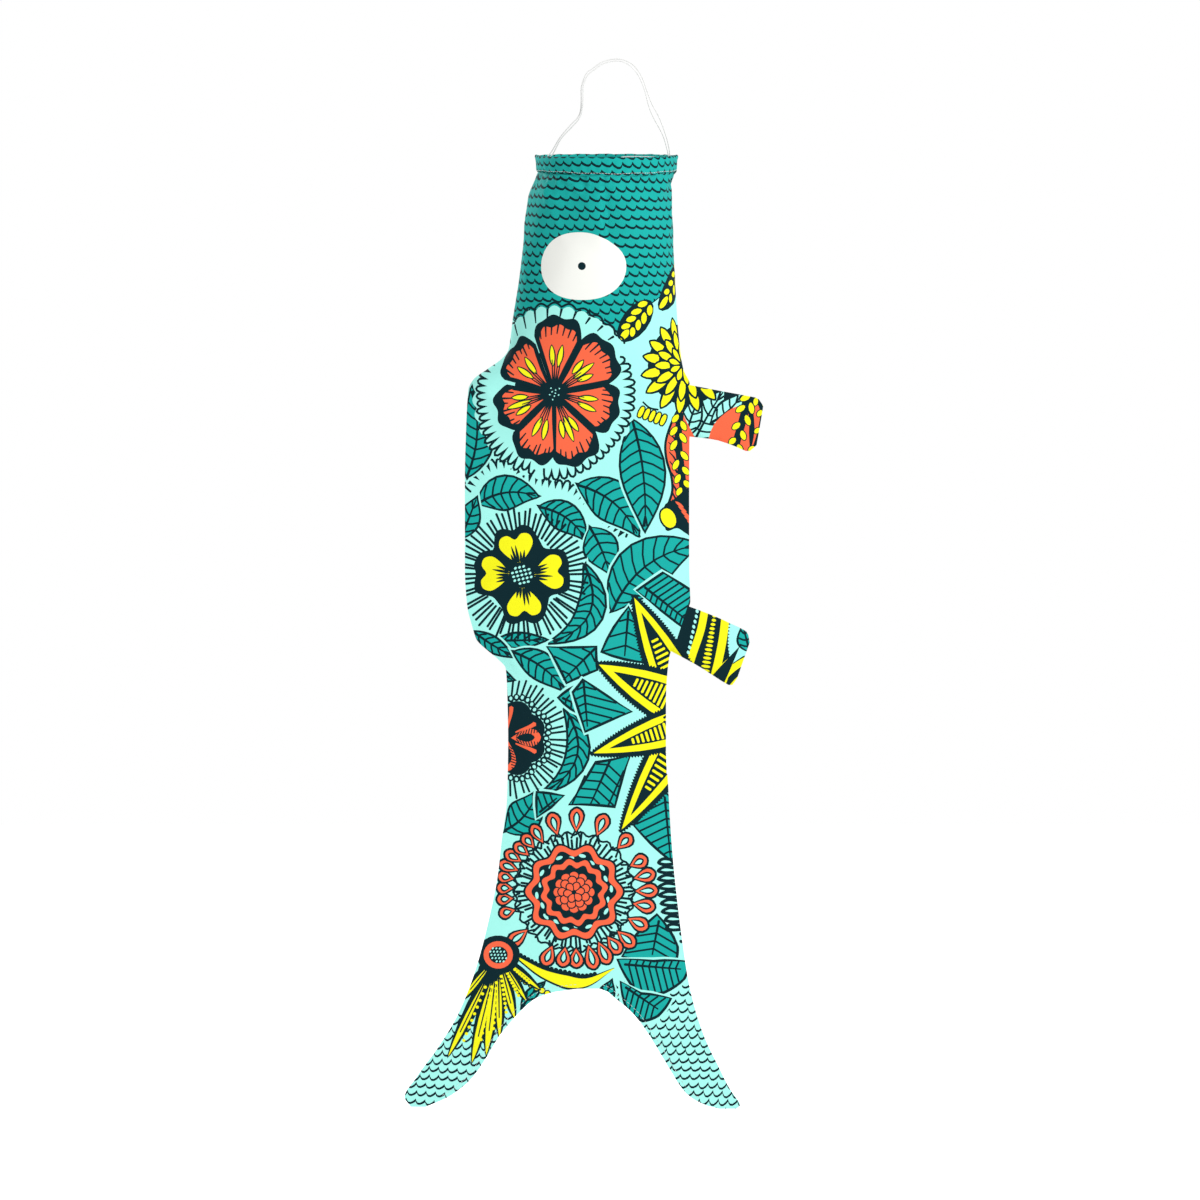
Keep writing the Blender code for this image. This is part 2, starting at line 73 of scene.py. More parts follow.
# ---------------------------------------------------------------- sizes from the frame
HEM_LOW, HEM_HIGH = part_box("mouth_hem_front")
BODY_LOW, BODY_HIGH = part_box("body_front")
KNOT_LOW, KNOT_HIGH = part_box("bridle_knot_right")
LABEL_LOW, LABEL_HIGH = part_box("side_label")
MOUTH_Z = HEM_HIGH.z
MOUTH_RADIUS = (HEM_HIGH.x - HEM_LOW.x) / 2 / MM      # over the hem, in millimetres
KNOT_PLACE = (KNOT_LOW + KNOT_HIGH) / 2
KNOT_RADIUS = (KNOT_HIGH.x - KNOT_LOW.x) / 2

# The outline that the CAD panels have, laid flat: (down, across) in nominal millimetres
NOMINAL_LENGTH = 1000
NOMINAL_WIDTH = 236
DOWN_SCALE = (MOUTH_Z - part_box("belly_tail_lobe_front")[0].z) / NOMINAL_LENGTH      # metres each
ACROSS_SCALE = (BODY_HIGH.x - BODY_LOW.x) / NOMINAL_WIDTH
HEAD_TOP = 16.8
HEAD_TOP_RADIUS = 70.1
BACK_EDGE = [
    (HEAD_TOP, -HEAD_TOP_RADIUS), (28, -76), (45, -82), (88, -86.5), (130, -91.5), (171, -98),
    (203, -102.5), (212, -109), (224, -125.5), (234, -139), (245, -144.5), (290, -147),
    (340, -148.2), (433, -148.2), (470, -146), (495, -140), (507, -136), (517, -126), (527, -114),
    (537, -105.5), (560, -104), (612, -103), (674, -104.2), (716, -109.5), (758, -114.5),
    (800, -123), (841, -133.5), (873, -144), (904, -157.5), (935, -176.5), (967, -199.5),
    (988, -212), (998, -205),
]
BELLY_EDGE = [
    (HEAD_TOP, HEAD_TOP_RADIUS), (28, 66.5), (45, 67.5), (88, 69.5), (130, 71.7), (171, 74),
    (203, 77), (224, 80.5), (239, 87), (290, 86.8), (340, 86.5), (433, 86.5), (468, 87.8),
    (471, 86.8), (520, 67.2), (523, 66.2), (548, 63.3), (569, 62.3), (621, 62.3), (658, 64.5),
    (695, 66.5), (737, 69.6), (778, 73.8), (820, 79), (862, 85.3), (894, 92.7), (925, 103),
    (956, 117.8), (977, 128.3), (988, 135.6), (996, 140.5), (1000, 136),
]
FORK_BACK_SIDE = [
    (873, -30), (875, -48), (883, -73.8), (894, -87.4), (904, -96.8), (925, -113.6),
    (946, -126.2), (967, -140.8), (977, -151.3), (988, -167), (998, -190),
]
FORK_BELLY_SIDE = [
    (873, -7), (876, 1), (883, 8.9), (894, 22.5), (904, 31.9), (925, 46.6),
    (946, 59.2), (967, 71.7), (977, 78), (988, 88.5), (996, 104), (1000, 118),
]
HALF_DEPTH = [
    (HEAD_TOP, HEAD_TOP_RADIUS), (45, 68), (90, 62), (130, 54), (171, 44), (203, 36), (224, 30),
    (245, 24), (290, 18), (340, 14), (433, 12), (507, 11), (548, 10), (612, 9), (700, 8),
    (800, 7), (873, 6.5), (904, 6), (967, 4.5), (1000, 3),
]
ROUNDNESS = [(0, 0.5), (90, 0.5), (171, 0.6), (245, 0.8), (340, 1.0), (1000, 1.0)]
UPPER_FIN = {
    "top": [(240, 87), (246, 118), (251, 145), (254, 158), (262, 164)],
    "bottom": [(294, 87), (297, 112), (304, 134), (309.5, 148), (303, 157)],
}
LOWER_FIN = {
    "top": [(472, 86.4), (481, 110), (490, 130), (500, 148), (510, 150)],
    "bottom": [(519, 67.6), (535, 97), (546, 114), (555, 130), (547, 137)],
}
FIN_HALF_DEPTH = 3.5
FIN_MOUTH_FADE = 26      # how far into the body a fin's open pocket shows
SEAM_HALF_GAP = 0.15
CLOTH = 0.3              # thickness
FINE_GRID, COARSE_GRID = 5.0, 9.0     # spacing of the cloth's own points, head and body
HEAD_GRID_END = 250

# Where one piece of cloth ends and the next begins
HEAD_END, BODY_END, TAIL_SPLIT = 370, 720, -18
FIN_STRIP = 7            # width of body that goes with a fin
SIDES = (("front", -1, 0.0), ("rear", 1, 2.1))      # name, way in y, phase of its folds

CAMERA_DISTANCE = 14.0
CAMERA_ELEVATION = math.radians(3.3)
FRAME_WIDTH = 1.2564     # metres across the picture at the streamer
FRAME_CENTRE = Vector((-0.0068, 0, -0.5633))
SENSOR = 36.0


def link_object(name, data):
    obj = bpy.data.objects.new(name, data)
    bpy.context.scene.collection.objects.link(obj)
    return obj


def make_camera():
    data = bpy.data.cameras.new("camera")
    data.sensor_width = SENSOR
    data.lens = SENSOR * CAMERA_DISTANCE / FRAME_WIDTH
    data.clip_end = 100
    camera = link_object("camera", data)
    back = Vector((0, -math.cos(CAMERA_ELEVATION), math.sin(CAMERA_ELEVATION)))
    camera.location = FRAME_CENTRE + back * CAMERA_DISTANCE
    camera.rotation_euler = (-back).to_track_quat("-Z", "Y").to_euler()
    bpy.context.scene.camera = camera


make_camera()


# --------------------------------------------------------------------- materials
INKS = ("mint", "teal", "navy", "red", "yellow", "white")
INK_SRGB = {
    "mint": (170, 252, 241), "teal": (22, 174, 166), "navy": (2, 38, 45),
    "red": (253, 108, 72), "yellow": (252, 250, 28), "white": (250, 251, 245),
}
PAPER_SRGB = (214, 240, 236)
REVERSE_PALING = 0.55    # how far the back of the cloth is paler than its print
INSIDE_PAINTED_GLOW = 0.2      # painted glow: the inside faces emit their own colour, standing in for light that the thin cloth lets through
LIGHT_LEVEL = 1.75       # the studio's light on the cloth, so that its colours match


def linear(srgb):
    return [((c / 255 + 0.055) / 1.055) ** 2.4 if c > 10 else c / 255 / 12.92 for c in srgb]


class Finish:
    """A material with the nodes that roughen its surface."""

    def __init__(self, name, colour, roughness, **sockets):
        self.material = bpy.data.materials.new(name)
        self.material.use_nodes = True
        self.tree = self.material.node_tree
        self.shader = self.tree.nodes["Principled BSDF"]
        self.place = None
        self.set(Base_Color=(*colour, 1), Roughness=roughness, **sockets)

    def set(self, **sockets):
        for name, value in sockets.items():
            self.shader.inputs[name.replace("_", " ")].default_value = value

    def add(self, kind, sources=(), **values):
        """A node with its settings, fed by (node, output, input) sources."""
        node = self.tree.nodes.new("ShaderNode" + kind)
        for key, value in values.items():
            if key.replace("_", " ") in node.inputs:
                node.inputs[key.replace("_", " ")].default_value = value
            else:
                setattr(node, key, value)
        for source, output, entry in sources:
            self.tree.links.new(source.outputs[output], node.inputs[entry])
        return node

    def texture(self, kind, **values):
        if self.place is None:
            self.place = self.add("TexCoord")
        return self.add("Tex" + kind, [(self.place, "Object", "Vector")], **values)

    def bump(self, height, output, strength, distance):
        bump = self.add("Bump", [(height, output, "Height")], Strength=strength, Distance=distance)
        self.tree.links.new(bump.outputs["Normal"], self.shader.inputs["Normal"])

    def total(self, first, output, second):
        return self.add("Math", [(first, output, 0), (second, "Fac", 1)], operation="ADD")

    def uneven_roughness(self, low, high, **noise):
        cloud = self.texture("Noise", **noise)
        spread = self.add("MapRange", [(cloud, "Fac", "Value")], To_Min=low, To_Max=high)
        self.tree.links.new(spread.outputs["Result"], self.shader.inputs["Roughness"])


def weave(finish, thread, depth, rough):
    """Plain weave: two crossing sets of threads raise the surface, and soft blotches of wear
    change how rough it is."""
    waves = [finish.texture("Wave", bands_direction=way, wave_profile="SIN", Distortion=1.5,
                            Detail=1.0, Scale=math.pi / 10 / thread) for way in ("X", "Z")]
    crossing = finish.add("Math", [(waves[0], "Fac", 0), (waves[1], "Fac", 1)], operation="MAXIMUM")
    slub = finish.texture("Noise", Scale=900.0, Detail=3.0)
    finish.bump(finish.total(crossing, "Value", slub), "Value", 0.35, depth)
    finish.uneven_roughness(rough - 0.1, rough + 0.1, Scale=38.0, Detail=4.0)


def cloth_materials():
    """A material for each ink on the printed face, then for each as it shows on the inside, paler and
    with a painted glow.
    """
    made = []
    for back in (False, True):
        for name in INKS:
            colour = [c / LIGHT_LEVEL for c in linear(INK_SRGB[name])]
            if back:
                paper = [p / LIGHT_LEVEL for p in linear(PAPER_SRGB)]
                colour = [c + (p - c) * REVERSE_PALING for c, p in zip(colour, paper)]
            finish = Finish(f"cloth_{name}_back" if back else f"cloth_{name}", colour, 0.7,
                            Specular_IOR_Level=0.06, Sheen_Weight=0.01, Sheen_Roughness=0.5)
            if back:
                # painted glow: the back faces emit their colour, in place of light let through the thin
                # cloth
                finish.set(Emission_Color=(*colour, 1), Emission_Strength=INSIDE_PAINTED_GLOW)
            weave(finish, thread=0.00035, depth=0.00006, rough=0.7)
            made.append(finish.material)
    return made


def thread_material(name, srgb, twist):
    """White yarn, twisted: slanting ridges and a little fuzz."""
    finish = Finish(name, [c / LIGHT_LEVEL for c in linear(srgb)], 0.75, Sheen_Weight=0.2)
    ridges = finish.texture("Wave", bands_direction="DIAGONAL", Distortion=0.6,
                            Scale=math.pi / 10 / twist)
    fuzz = finish.texture("Noise", Scale=2500.0, Detail=2.0)
    finish.bump(finish.total(ridges, "Fac", fuzz), "Value", 0.6, 0.00015)
    return finish.material


def plastic_material(name, srgb, rough=0.42):
    """Satin extruded plastic: fine lines along the strip and a faint cloudiness."""
    finish = Finish(name, linear(srgb), rough)
    lines = finish.texture("Wave", bands_direction="Z", Scale=400.0, Distortion=1.0)
    finish.bump(lines, "Fac", 0.15, 0.00005)
    finish.uneven_roughness(rough - 0.08, rough + 0.12, Scale=120.0, Detail=3.0)
    return finish.material


CLOTH_MATERIALS = cloth_materials()
THREAD = thread_material("bridle_thread", (240, 240, 238), twist=0.0011)
STITCH_THREAD = thread_material("stitch_thread", (244, 248, 247), twist=0.0005)


# ------------------------------------------------------------- bridle cords
STRAND_DIAMETER = 0.0012
STRAND_SPREAD = 0.0009
FRONT_ROUTE = [
    (-62, -101), (-56, -96.3), (-47.6, -80.6), (-36.1, -68.1), (-29, -60), (-25.7, -51.3),
    (-24.4, -38.7), (-24, -25), (-19.4, -14), (-12, -8), (-5, -3), (4, 0), (14, 0.6), (23, -3),
    (30, -9.6), (35.3, -18), (40.3, -31), (44.5, -47), (49.5, -59), (58.6, -76), (63, -90),
    (64.8, -99),
]
REAR_ROUTE = [
    (-63.5, -101), (-57.5, -94), (-48.5, -79), (-37.5, -66), (-30, -58), (-27, -50), (-26.5, -39),
    (-26.2, -26), (-21, -12.5), (-13, -6), (-5.5, -0.8), (4, 2.2), (14, 2.6), (24.5, -1),
    (32.5, -8.5), (38, -18), (42.5, -31), (48, -45), (55, -58), (61.5, -75), (65.2, -89),
    (66.2, -99),
]
STRAND_STEPS = 8         # points on each span of a route


def reach_along(line):
    """How far along a line each of its points lies."""
    return np.concatenate([[0], np.cumsum(np.linalg.norm(np.diff(line, axis=0), axis=1))])


def through(points, per, closed=False):
    """A smooth curve through the points (Catmull-Rom), per steps on each span."""
    p = np.asarray(points, float)
    if closed:
        p = np.vstack([p[-1], p, p[:2]])
    else:
        p = np.vstack([2 * p[0] - p[1], p, 2 * p[-1] - p[-2]])
    f = (np.arange(per) / per)[:, None]
    spans = []
    for before, a, b, after in zip(p, p[1:], p[2:], p[3:]):
        spans.append(0.5 * (2 * a + (b - before) * f + (2 * before - 5 * a + 4 * b - after) * f ** 2
                            + (3 * a - before - 3 * b + after) * f ** 3))
    line = np.vstack(spans)
    return line if closed else np.vstack([line, p[-2]])


def bridle_strand(name, route, side, node):
    """One strand of the doubled thread, from the left knot over the hook to the right knot."""
    y, z = side * STRAND_SPREAD, KNOT_PLACE.z + KNOT_RADIUS * 0.7
    ends = [(sign * KNOT_PLACE.x, y, z) for sign in (-1, 1)]
    middle = [(across * MM, y, up * MM) for across, up in route]
    line = through(ends[:1] + middle + ends[1:], STRAND_STEPS)
    curve = bpy.data.curves.new(name, "CURVE")
    curve.dimensions = "3D"
    curve.bevel_depth = STRAND_DIAMETER / 2
    curve.bevel_resolution = 3
    curve.use_fill_caps = True
    spline = curve.splines.new("POLY")
    spline.points.add(len(line) - 1)
    for point, place in zip(spline.points, line):
        point.co = (*place, 1)
    curve.materials.append(THREAD)
    strand = link_object(name, curve)
    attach(strand, "bridle")
    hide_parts(node)


bridle_strand("bridle_thread_front", FRONT_ROUTE, -1, "bridle_strand_front")
bridle_strand("bridle_thread_rear", REAR_ROUTE, 1, "bridle_strand_rear")


# --------------------------------------------------------- the cloth's shape in space

def harmonic(a, b):
    return 0.0 if a * b <= 0 else 2 * a * b / (a + b)


def smooth_value(points, x):
    """A curve through the points that never overshoots them."""
    if x <= points[0][0]:
        return points[0][1]
    if x >= points[-1][0]:
        return points[-1][1]
    slopes = [(b[1] - a[1]) / (b[0] - a[0]) for a, b in zip(points, points[1:])]
    i = max(k for k, point in enumerate(points[:-1]) if point[0] <= x)
    start = harmonic(slopes[i - 1], slopes[i]) if i > 0 else slopes[i]
    end = harmonic(slopes[i], slopes[i + 1]) if i < len(slopes) - 1 else slopes[i]
    width = points[i + 1][0] - points[i][0]
    u = (x - points[i][0]) / width
    return (points[i][1] * (1 + 2 * u) * (1 - u) ** 2 + points[i + 1][1] * u * u * (3 - 2 * u)
            + width * start * u * (1 - u) ** 2 - width * end * u * u * (1 - u))


ROWS = np.arange(HEAD_TOP, NOMINAL_LENGTH + 0.6, 1.0)
SHARES = np.linspace(0, 1, 241)


def section_tables():
    """For each millimetre down: places along the front half of the tube's section, evenly
    spaced along the cloth, and the section's middle and length."""
    found = []
    angles = np.linspace(0, math.pi, 721)
    for down in ROWS:
        left, right = smooth_value(BACK_EDGE, down), smooth_value(BELLY_EDGE, down)
        fullness = np.abs(np.sin(angles)) ** (2 * smooth_value(ROUNDNESS, down))
        x = (left + right) / 2 - (right - left) / 2 * np.cos(angles)
        y = SEAM_HALF_GAP + smooth_value(HALF_DEPTH, down) * fullness
        reach = reach_along(np.stack([x, y], axis=1))
        even = SHARES * reach[-1]
        found.append((np.interp(even, reach, x), np.interp(even, reach, y), (left + right) / 2,
                      reach[-1]))
    return [np.array(column) for column in zip(*found)]


SECTION_X, SECTION_Y, SECTION_MIDDLE, SECTION_LENGTH = section_tables()


def flat_edges(down):
    """Where the cloth's back and belly edges lie when it is flat, at these distances down."""
    middle = np.interp(down, ROWS, SECTION_MIDDLE)
    half = np.interp(down, ROWS, SECTION_LENGTH) / 2
    return middle - half, middle + half


def nearest_row(down):
    return int(round(min(max(down - HEAD_TOP, 0), len(ROWS) - 1)))


def flat(x, down):
    """The place on the flat cloth that is seen at x from the front."""
    row = SECTION_X[nearest_row(down)]
    left, right = flat_edges(down)
    if x > row[-1]:
        return (right + x - row[-1], down)
    if x < row[0]:
        return (left + x - row[0], down)
    return (left + np.interp(x, row, SHARES) * (right - left), down)


def seen(x, down):
    """The place on the flat cloth that the camera sees there, looking slightly from above."""
    row = nearest_row(down)
    depth = np.interp(x, SECTION_X[row], SECTION_Y[row])
    return (flat(x, down)[0], down - depth * math.tan(CAMERA_ELEVATION))


def seen_all(*places):
    return [seen(x, down) for x, down in places]


def grid_value(table, row, column):
    """Reads a table between its rows and columns."""
    row = np.clip(row, 0, table.shape[0] - 1.001)
    column = np.clip(column, 0, table.shape[1] - 1.001)
    r, c = row.astype(int), column.astype(int)
    fr, fc = row - r, column - c
    upper = table[r, c] * (1 - fc) + table[r, c + 1] * fc
    lower = table[r + 1, c] * (1 - fc) + table[r + 1, c + 1] * fc
    return upper * (1 - fr) + lower * fr


def soft_step(x):
    x = np.clip(x, 0, 1)
    return x * x * (3 - 2 * x)


def pocket_depth(fin, x, down):
    """How far a fin's pocket stands off the middle plane, which fades out inside the body."""
    top, bottom = np.array(fin["top"]), np.array(fin["bottom"])
    upper = np.interp(x, top[:, 1], top[:, 0])
    lower = np.interp(x, bottom[:, 1], bottom[:, 0])
    share = np.clip((down - upper) / (lower - upper), 0, 1)
    tip = np.interp(down, [top[-1, 0], bottom[-1, 0]], [top[-1, 1], bottom[-1, 1]])
    root = np.interp(down, [top[0, 0], bottom[0, 0]], [top[0, 1], bottom[0, 1]])
    out = np.clip((x - root) / (tip - root), 0, 1)
    fade = soft_step(1 - (root - x) / FIN_MOUTH_FADE)
    return (FIN_HALF_DEPTH * np.sqrt(np.clip(1 - (2 * share - 1) ** 2, 0, 1))
            * np.sqrt(np.clip(1 - out ** 4, 0, 1)) * fade)


def smooth_cloth(across, down):
    """(x, depth, down) of the cloth before its folds, in millimetres."""
    left, right = flat_edges(down)
    row, column = down - HEAD_TOP, (across - left) / (right - left) * (len(SHARES) - 1)
    x = grid_value(SECTION_X, row, column) + np.maximum(across - right, 0)
    depth = grid_value(SECTION_Y, row, column)
    for fin in (UPPER_FIN, LOWER_FIN):
        depth = np.hypot(depth, pocket_depth(fin, x, down))
    return np.stack([x, depth, down], axis=1)


WRINKLES = [   # from (across, down), to, height, half width: sharp pulls in the cloth
    ((-98, 19), (-34, 66), 2.6, 4.5), ((-84, 19), (-40, 96), 1.8, 6.0),
    ((-52, 19), (-12, 50), 2.2, 4.0), ((-30, 19), (-6, 44), -1.8, 4.0),
    ((14, 19), (2, 56), 1.6, 4.0), ((44, 19), (24, 66), 2.0, 4.5), ((88, 19), (34, 74), 2.6, 5.0),
    ((98, 28), (66, 108), 1.8, 6.0), ((-116, 62), (-88, 150), 1.8, 8.0),
    ((70, 120), (40, 190), 1.5, 9.0), ((-130, 238), (-66, 330), 1.7, 9.0),
    ((76, 262), (20, 360), 1.5, 9.0), ((-140, 470), (-70, 400), 1.4, 10.0),
    ((-132, 500), (-60, 560), 1.8, 8.0), ((74, 500), (10, 560), 1.6, 9.0),
    ((60, 540), (0, 640), 1.3, 9.0), ((-100, 560), (-62, 690), 1.2, 9.0),
    ((-60, 660), (-40, 800), 1.3, 11.0), ((50, 680), (18, 830), 1.4, 10.0),
    ((-120, 850), (-180, 950), 1.2, 8.0), ((40, 860), (118, 960), 1.2, 8.0),
]


def wrinkles(across, down, shift):
    """Ridges along straight lines that fade at both ends."""
    total = np.zeros(len(across))
    for (x0, y0), (x1, y1), height, half in WRINKLES:
        long = math.hypot(x1 - x0, y1 - y0)
        ux, uy = (x1 - x0) / long, (y1 - y0) / long
        dx, dy = across - x0 - shift, down - y0
        along = (dx * ux + dy * uy) / long
        aside = dx * uy - dy * ux + 3.0 * np.sin(along * 3 + x0)
        window = soft_step((along + 0.12) / 0.25) * soft_step((1.08 - along) / 0.7)
        total += height * window * np.exp(-np.abs(aside / half) ** 1.5)
    return total


def folds(across, down, phase):
    """How far the cloth stands off its smooth shape: gathers under the hem, one long fold in
    the head, slack drapes further down."""
    below = np.maximum(down - HEAD_TOP, 0)
    gathers = np.exp(-below / 15) * (
        0.75 * np.sin(2 * math.pi * across / 11.7 + 1.4 * np.sin(across / 21 + phase))
        + 0.45 * np.sin(2 * math.pi * across / 6.9 + 1 + phase)
    )
    crease = across - (-4 + 0.05 * (down - 40) + 3 * phase)
    crease_span = soft_step((down - 24) / 22) * soft_step((104 - down) / 30)
    long_fold = -4.8 * np.tanh(crease / 2.0) * np.exp(-(crease / 19) ** 2) * crease_span
    back_pull = np.sin((across * 0.9 + down * 0.42) / 8.5 + phase)
    belly_pull = np.sin((across * 0.9 - down * 0.38) / 9.5 + 2 + phase)
    pulls = np.exp(-below / 95) * (
        1.5 * back_pull * np.exp(-((across + 62) / 45) ** 2)
        + 1.3 * belly_pull * np.exp(-((across - 55) / 40) ** 2)
    )
    drape = soft_step((down - 150) / 160) * (
        0.75 * np.sin(across / 23 + down / 55 + phase) * np.sin(down / 41 + 0.6 * phase)
        + 0.35 * np.sin((across + 0.55 * down) / 10.5 + 1.7 + phase)
    )
    return gathers + long_fold + pulls + drape + wrinkles(across, down, 9 * phase)


def difference_normals(place, across, down, step=0.2):
    """Unit normals of a surface given by place(across, down), away from the tube's inside."""
    along = place(across + step, down) - place(across - step, down)
    downwards = place(across, down + step) - place(across, down - step)
    normal = np.cross(downwards, along)
    return normal / np.maximum(np.linalg.norm(normal, axis=1), 1e-9)[:, None]


def folded_cloth(across, down, phase):
    """The cloth with its folds, as (x, depth, down)."""
    base = smooth_cloth(across, down)
    outwards = difference_normals(smooth_cloth, across, down)
    free = soft_step(base[:, 1] / 5)
    return base + outwards * (folds(across, down, phase) * free)[:, None]


def in_space(points, side, across_scale=ACROSS_SCALE, down_scale=DOWN_SCALE):
    """Millimetre points (x, depth, down) as metres in the frame, on the front or the rear."""
    return np.stack([points[:, 0] * across_scale, side * points[:, 1] * MM,
                     MOUTH_Z - points[:, 2] * down_scale], axis=1)


def turn_normals(normals, side):
    """Directions in the frame, from (x, depth, down)."""
    return np.stack([normals[:, 0], side * normals[:, 1], -normals[:, 2]], axis=1)


# ----------------------------------------------------------- drawing tools for the print
PRINT = []               # (ink, outline) in the order that they are printed
LINE = 2.5               # width of a drawn outline
VEIN = 2.0
HALO = 2.2               # pale gap that the print leaves round each leaf


def ink(colour, outline):
    PRINT.append((INKS.index(colour), np.asarray(outline, float)))


def wobble(seed):
    """A number from -1 to 1 that makes drawn things uneven, always the same for a seed."""
    return math.sin(seed * 12.9898 + 0.7 * math.sin(seed * 3.1))


def polar(centre, degrees, radius, squeeze=1.0):
    turn = math.radians(degrees)
    return (centre[0] + radius * math.cos(turn) * squeeze, centre[1] - radius * math.sin(turn))


def around(centre, squeeze=1.0):
    return lambda degrees, radius: polar(centre, degrees, radius, squeeze)


def unit(vector):
    return vector / max(np.linalg.norm(vector), 1e-9)


def unit_rows(vectors, least=1e-9):
    return vectors / np.maximum(np.linalg.norm(vectors, axis=1), least)[:, None]


def stroke(points, width):
    """The outline of a pen line. width is one number, or one for each point."""
    p = np.asarray(points, float)
    step = unit_rows(np.diff(p, axis=0))
    before, after = np.vstack([step[:1], step]), np.vstack([step, step[-1:]])
    middle = unit_rows(before + after, 1e-6)
    normal = np.stack([-middle[:, 1], middle[:, 0]], axis=1)
    mitre = np.clip((middle * before).sum(1), 0.62, 1)
    half = (np.asarray(width) / 2 / mitre)[:, None] * np.ones((len(p), 1))
    first = p[0] - step[0] * half[0] * 0.6
    last = p[-1] + step[-1] * half[-1] * 0.6
    return np.vstack([first, p + normal * half, last, (p - normal * half)[::-1]])


def pen(points, width):
    ink("navy", stroke(points, width))


def dot(colour, centre, across, tall, turned=0.0, count=14):
    """An ellipse, across and tall its full sizes, turned anticlockwise in degrees."""
    cos, sin = math.cos(math.radians(turned)), math.sin(math.radians(turned))
    found = []
    for k in range(count):
        a = 2 * math.pi * k / count
        x, y = across / 2 * math.cos(a), tall / 2 * math.sin(a)
        found.append((centre[0] + x * cos + y * sin, centre[1] - x * sin + y * cos))
    ink(colour, found)


def petal(base, tip, width, belly=0.5, blunt=0.7, steps=9, grow=0.0):
    """A petal or seed from base to tip: widest at belly, and rounder the lower blunt is."""
    base, tip = np.asarray(base, float), np.asarray(tip, float)
    long = max(np.linalg.norm(tip - base), 1e-6)
    axis = (tip - base) / long
    normal = np.array([-axis[1], axis[0]])
    shares = (1 - np.cos(np.linspace(0, math.pi, steps))) / 2
    power = math.log(0.5) / math.log(belly)
    half = ((width / 2 + grow) * np.sin(math.pi * shares ** power) ** blunt)[:, None]
    centre = base - axis * grow + axis * (shares * (long + 2 * grow))[:, None]
    return np.vstack([centre + normal * half, (centre - normal * half)[-2:0:-1]])


def outlined(colour, base, tip, width, line=LINE, **shape):
    ink("navy", petal(base, tip, width, grow=line, **shape))
    ink(colour, petal(base, tip, width, **shape))


def blob(centre, radius_at, count=72, squeeze=1.0):
    """A closed shape whose radius is a function of the angle in degrees."""
    angles = [360 * k / count for k in range(count)]
    return [polar(centre, a, radius_at(a), squeeze) for a in angles]


def ticks(centre, count, inner, outer, width, uneven=2.5):
    """Short rays round a flower."""
    at = around(centre)
    for k in range(count):
        a = 360 * (k + 0.3 * wobble(k + count)) / count
        start = at(a, inner + uneven * 0.4 * wobble(3 * k + 1))
        pen([start, at(a + 0.6 * wobble(k), outer + uneven * wobble(5 * k + 2))], width)


def scallops(start, end, pitch, depth, width, lean, sway, seed):
    """One row of scales: arcs that hang between cusps, from start to end."""
    start, end = np.asarray(start, float), np.asarray(end, float)
    count = max(1, int(round(np.linalg.norm(end - start) / pitch)))
    axis = (end - start) / count
    line, widths = [], []
    for k in range(count):
        tall = depth * (1 + 0.22 * wobble(seed * 31 + k))
        for s in (0.0, 0.12, 0.35, 0.6, 0.84):
            hang = math.sin(math.pi * s) ** 0.75
            place = start + axis * (k + s)
            line.append((place[0] - (1 - hang) * lean - 0.09 * wobble(seed * 17 + k),
                         place[1] + tall * hang + sway * wobble(seed + 0.05 * k)))
            widths.append(width * (1.3 - 0.4 * hang))
    line, half = np.array(line + [(end[0] - lean, end[1])]), np.array(widths + [width]) / 2
    half = half[:, None] * [[0, 1]]
    ink("navy", np.vstack([line - half, (line + half)[::-1]]))


def loops(path, pitch, height, width, side=1.0, seed=0):
    """A fringe of hanging loops along a path, on one side of it."""
    p = through(path, 12)
    reach = reach_along(p)
    count = max(1, int(round(reach[-1] / pitch)))

    def on_path(at):
        return np.array([np.interp(at, reach, p[:, 0]), np.interp(at, reach, p[:, 1])])

    line = []
    for k in range(count):
        tall = height * (1 + 0.25 * wobble(seed + k))
        for s, out in ((0, 0), (0.07, 0.55), (0.22, 0.92), (0.48, 1.05), (0.74, 0.92), (0.92, 0.55)):
            at = (k + s) * reach[-1] / count
            ahead = unit(on_path(at + 0.5) - on_path(at - 0.5))
            line.append(on_path(at) + np.array([ahead[1], -ahead[0]]) * side * tall * out)
    pen(line, width)


def leaf(base, tip, width, bend=0.0, veins=7, colour="teal"):
    """A veined leaf. bend pushes its middle to the left of the way from base to tip."""
    base, tip = np.array(seen(*base)), np.array(seen(*tip))
    axis = tip - base
    long = np.linalg.norm(axis)
    normal = np.array([axis[1], -axis[0]]) / long
    power = math.log(0.5) / math.log(0.45)

    def rib(s):
        return base + axis * s + normal * bend * 4 * s * (1 - s)

    def across(s):
        ahead = axis + normal * bend * 4 * (1 - 2 * s)
        return np.array([ahead[1], -ahead[0]]) / np.linalg.norm(ahead)

    def half(s):
        return width / 2 * math.sin(math.pi * s ** power) if 0 < s < 1 else 0.0

    shares = [(1 - math.cos(math.pi * k / 14)) / 2 for k in range(15)]
    halo = [(LINE + HALO, "mint")] if colour == "teal" else []
    for grow, shade in halo + [(LINE, "navy"), (0.0, colour)]:
        upper = [rib(s) + across(s) * (half(s) + grow) for s in shares]
        lower = [rib(s) - across(s) * (half(s) + grow) for s in shares]
        past = axis / long * grow * 1.8
        ink(shade, upper + [rib(1.0) + past] + lower[::-1] + [rib(0.0) - past])
    pen([rib(s) for s in np.linspace(0, 0.97, 9)], np.linspace(3.0, 1.4, 9))
    for k in range(1, veins + 1):
        s = (k - 0.25) / (veins + 1)
        for way in (1, -1):
            out = min(0.97, s + 0.4 / (veins + 1) + 0.06 + 0.015 * wobble(k * way))
            reach = across(out) * way * half(out)
            pen([rib(s), rib(s * 0.62 + out * 0.38) + reach * 0.5, rib(out) + reach], VEIN)


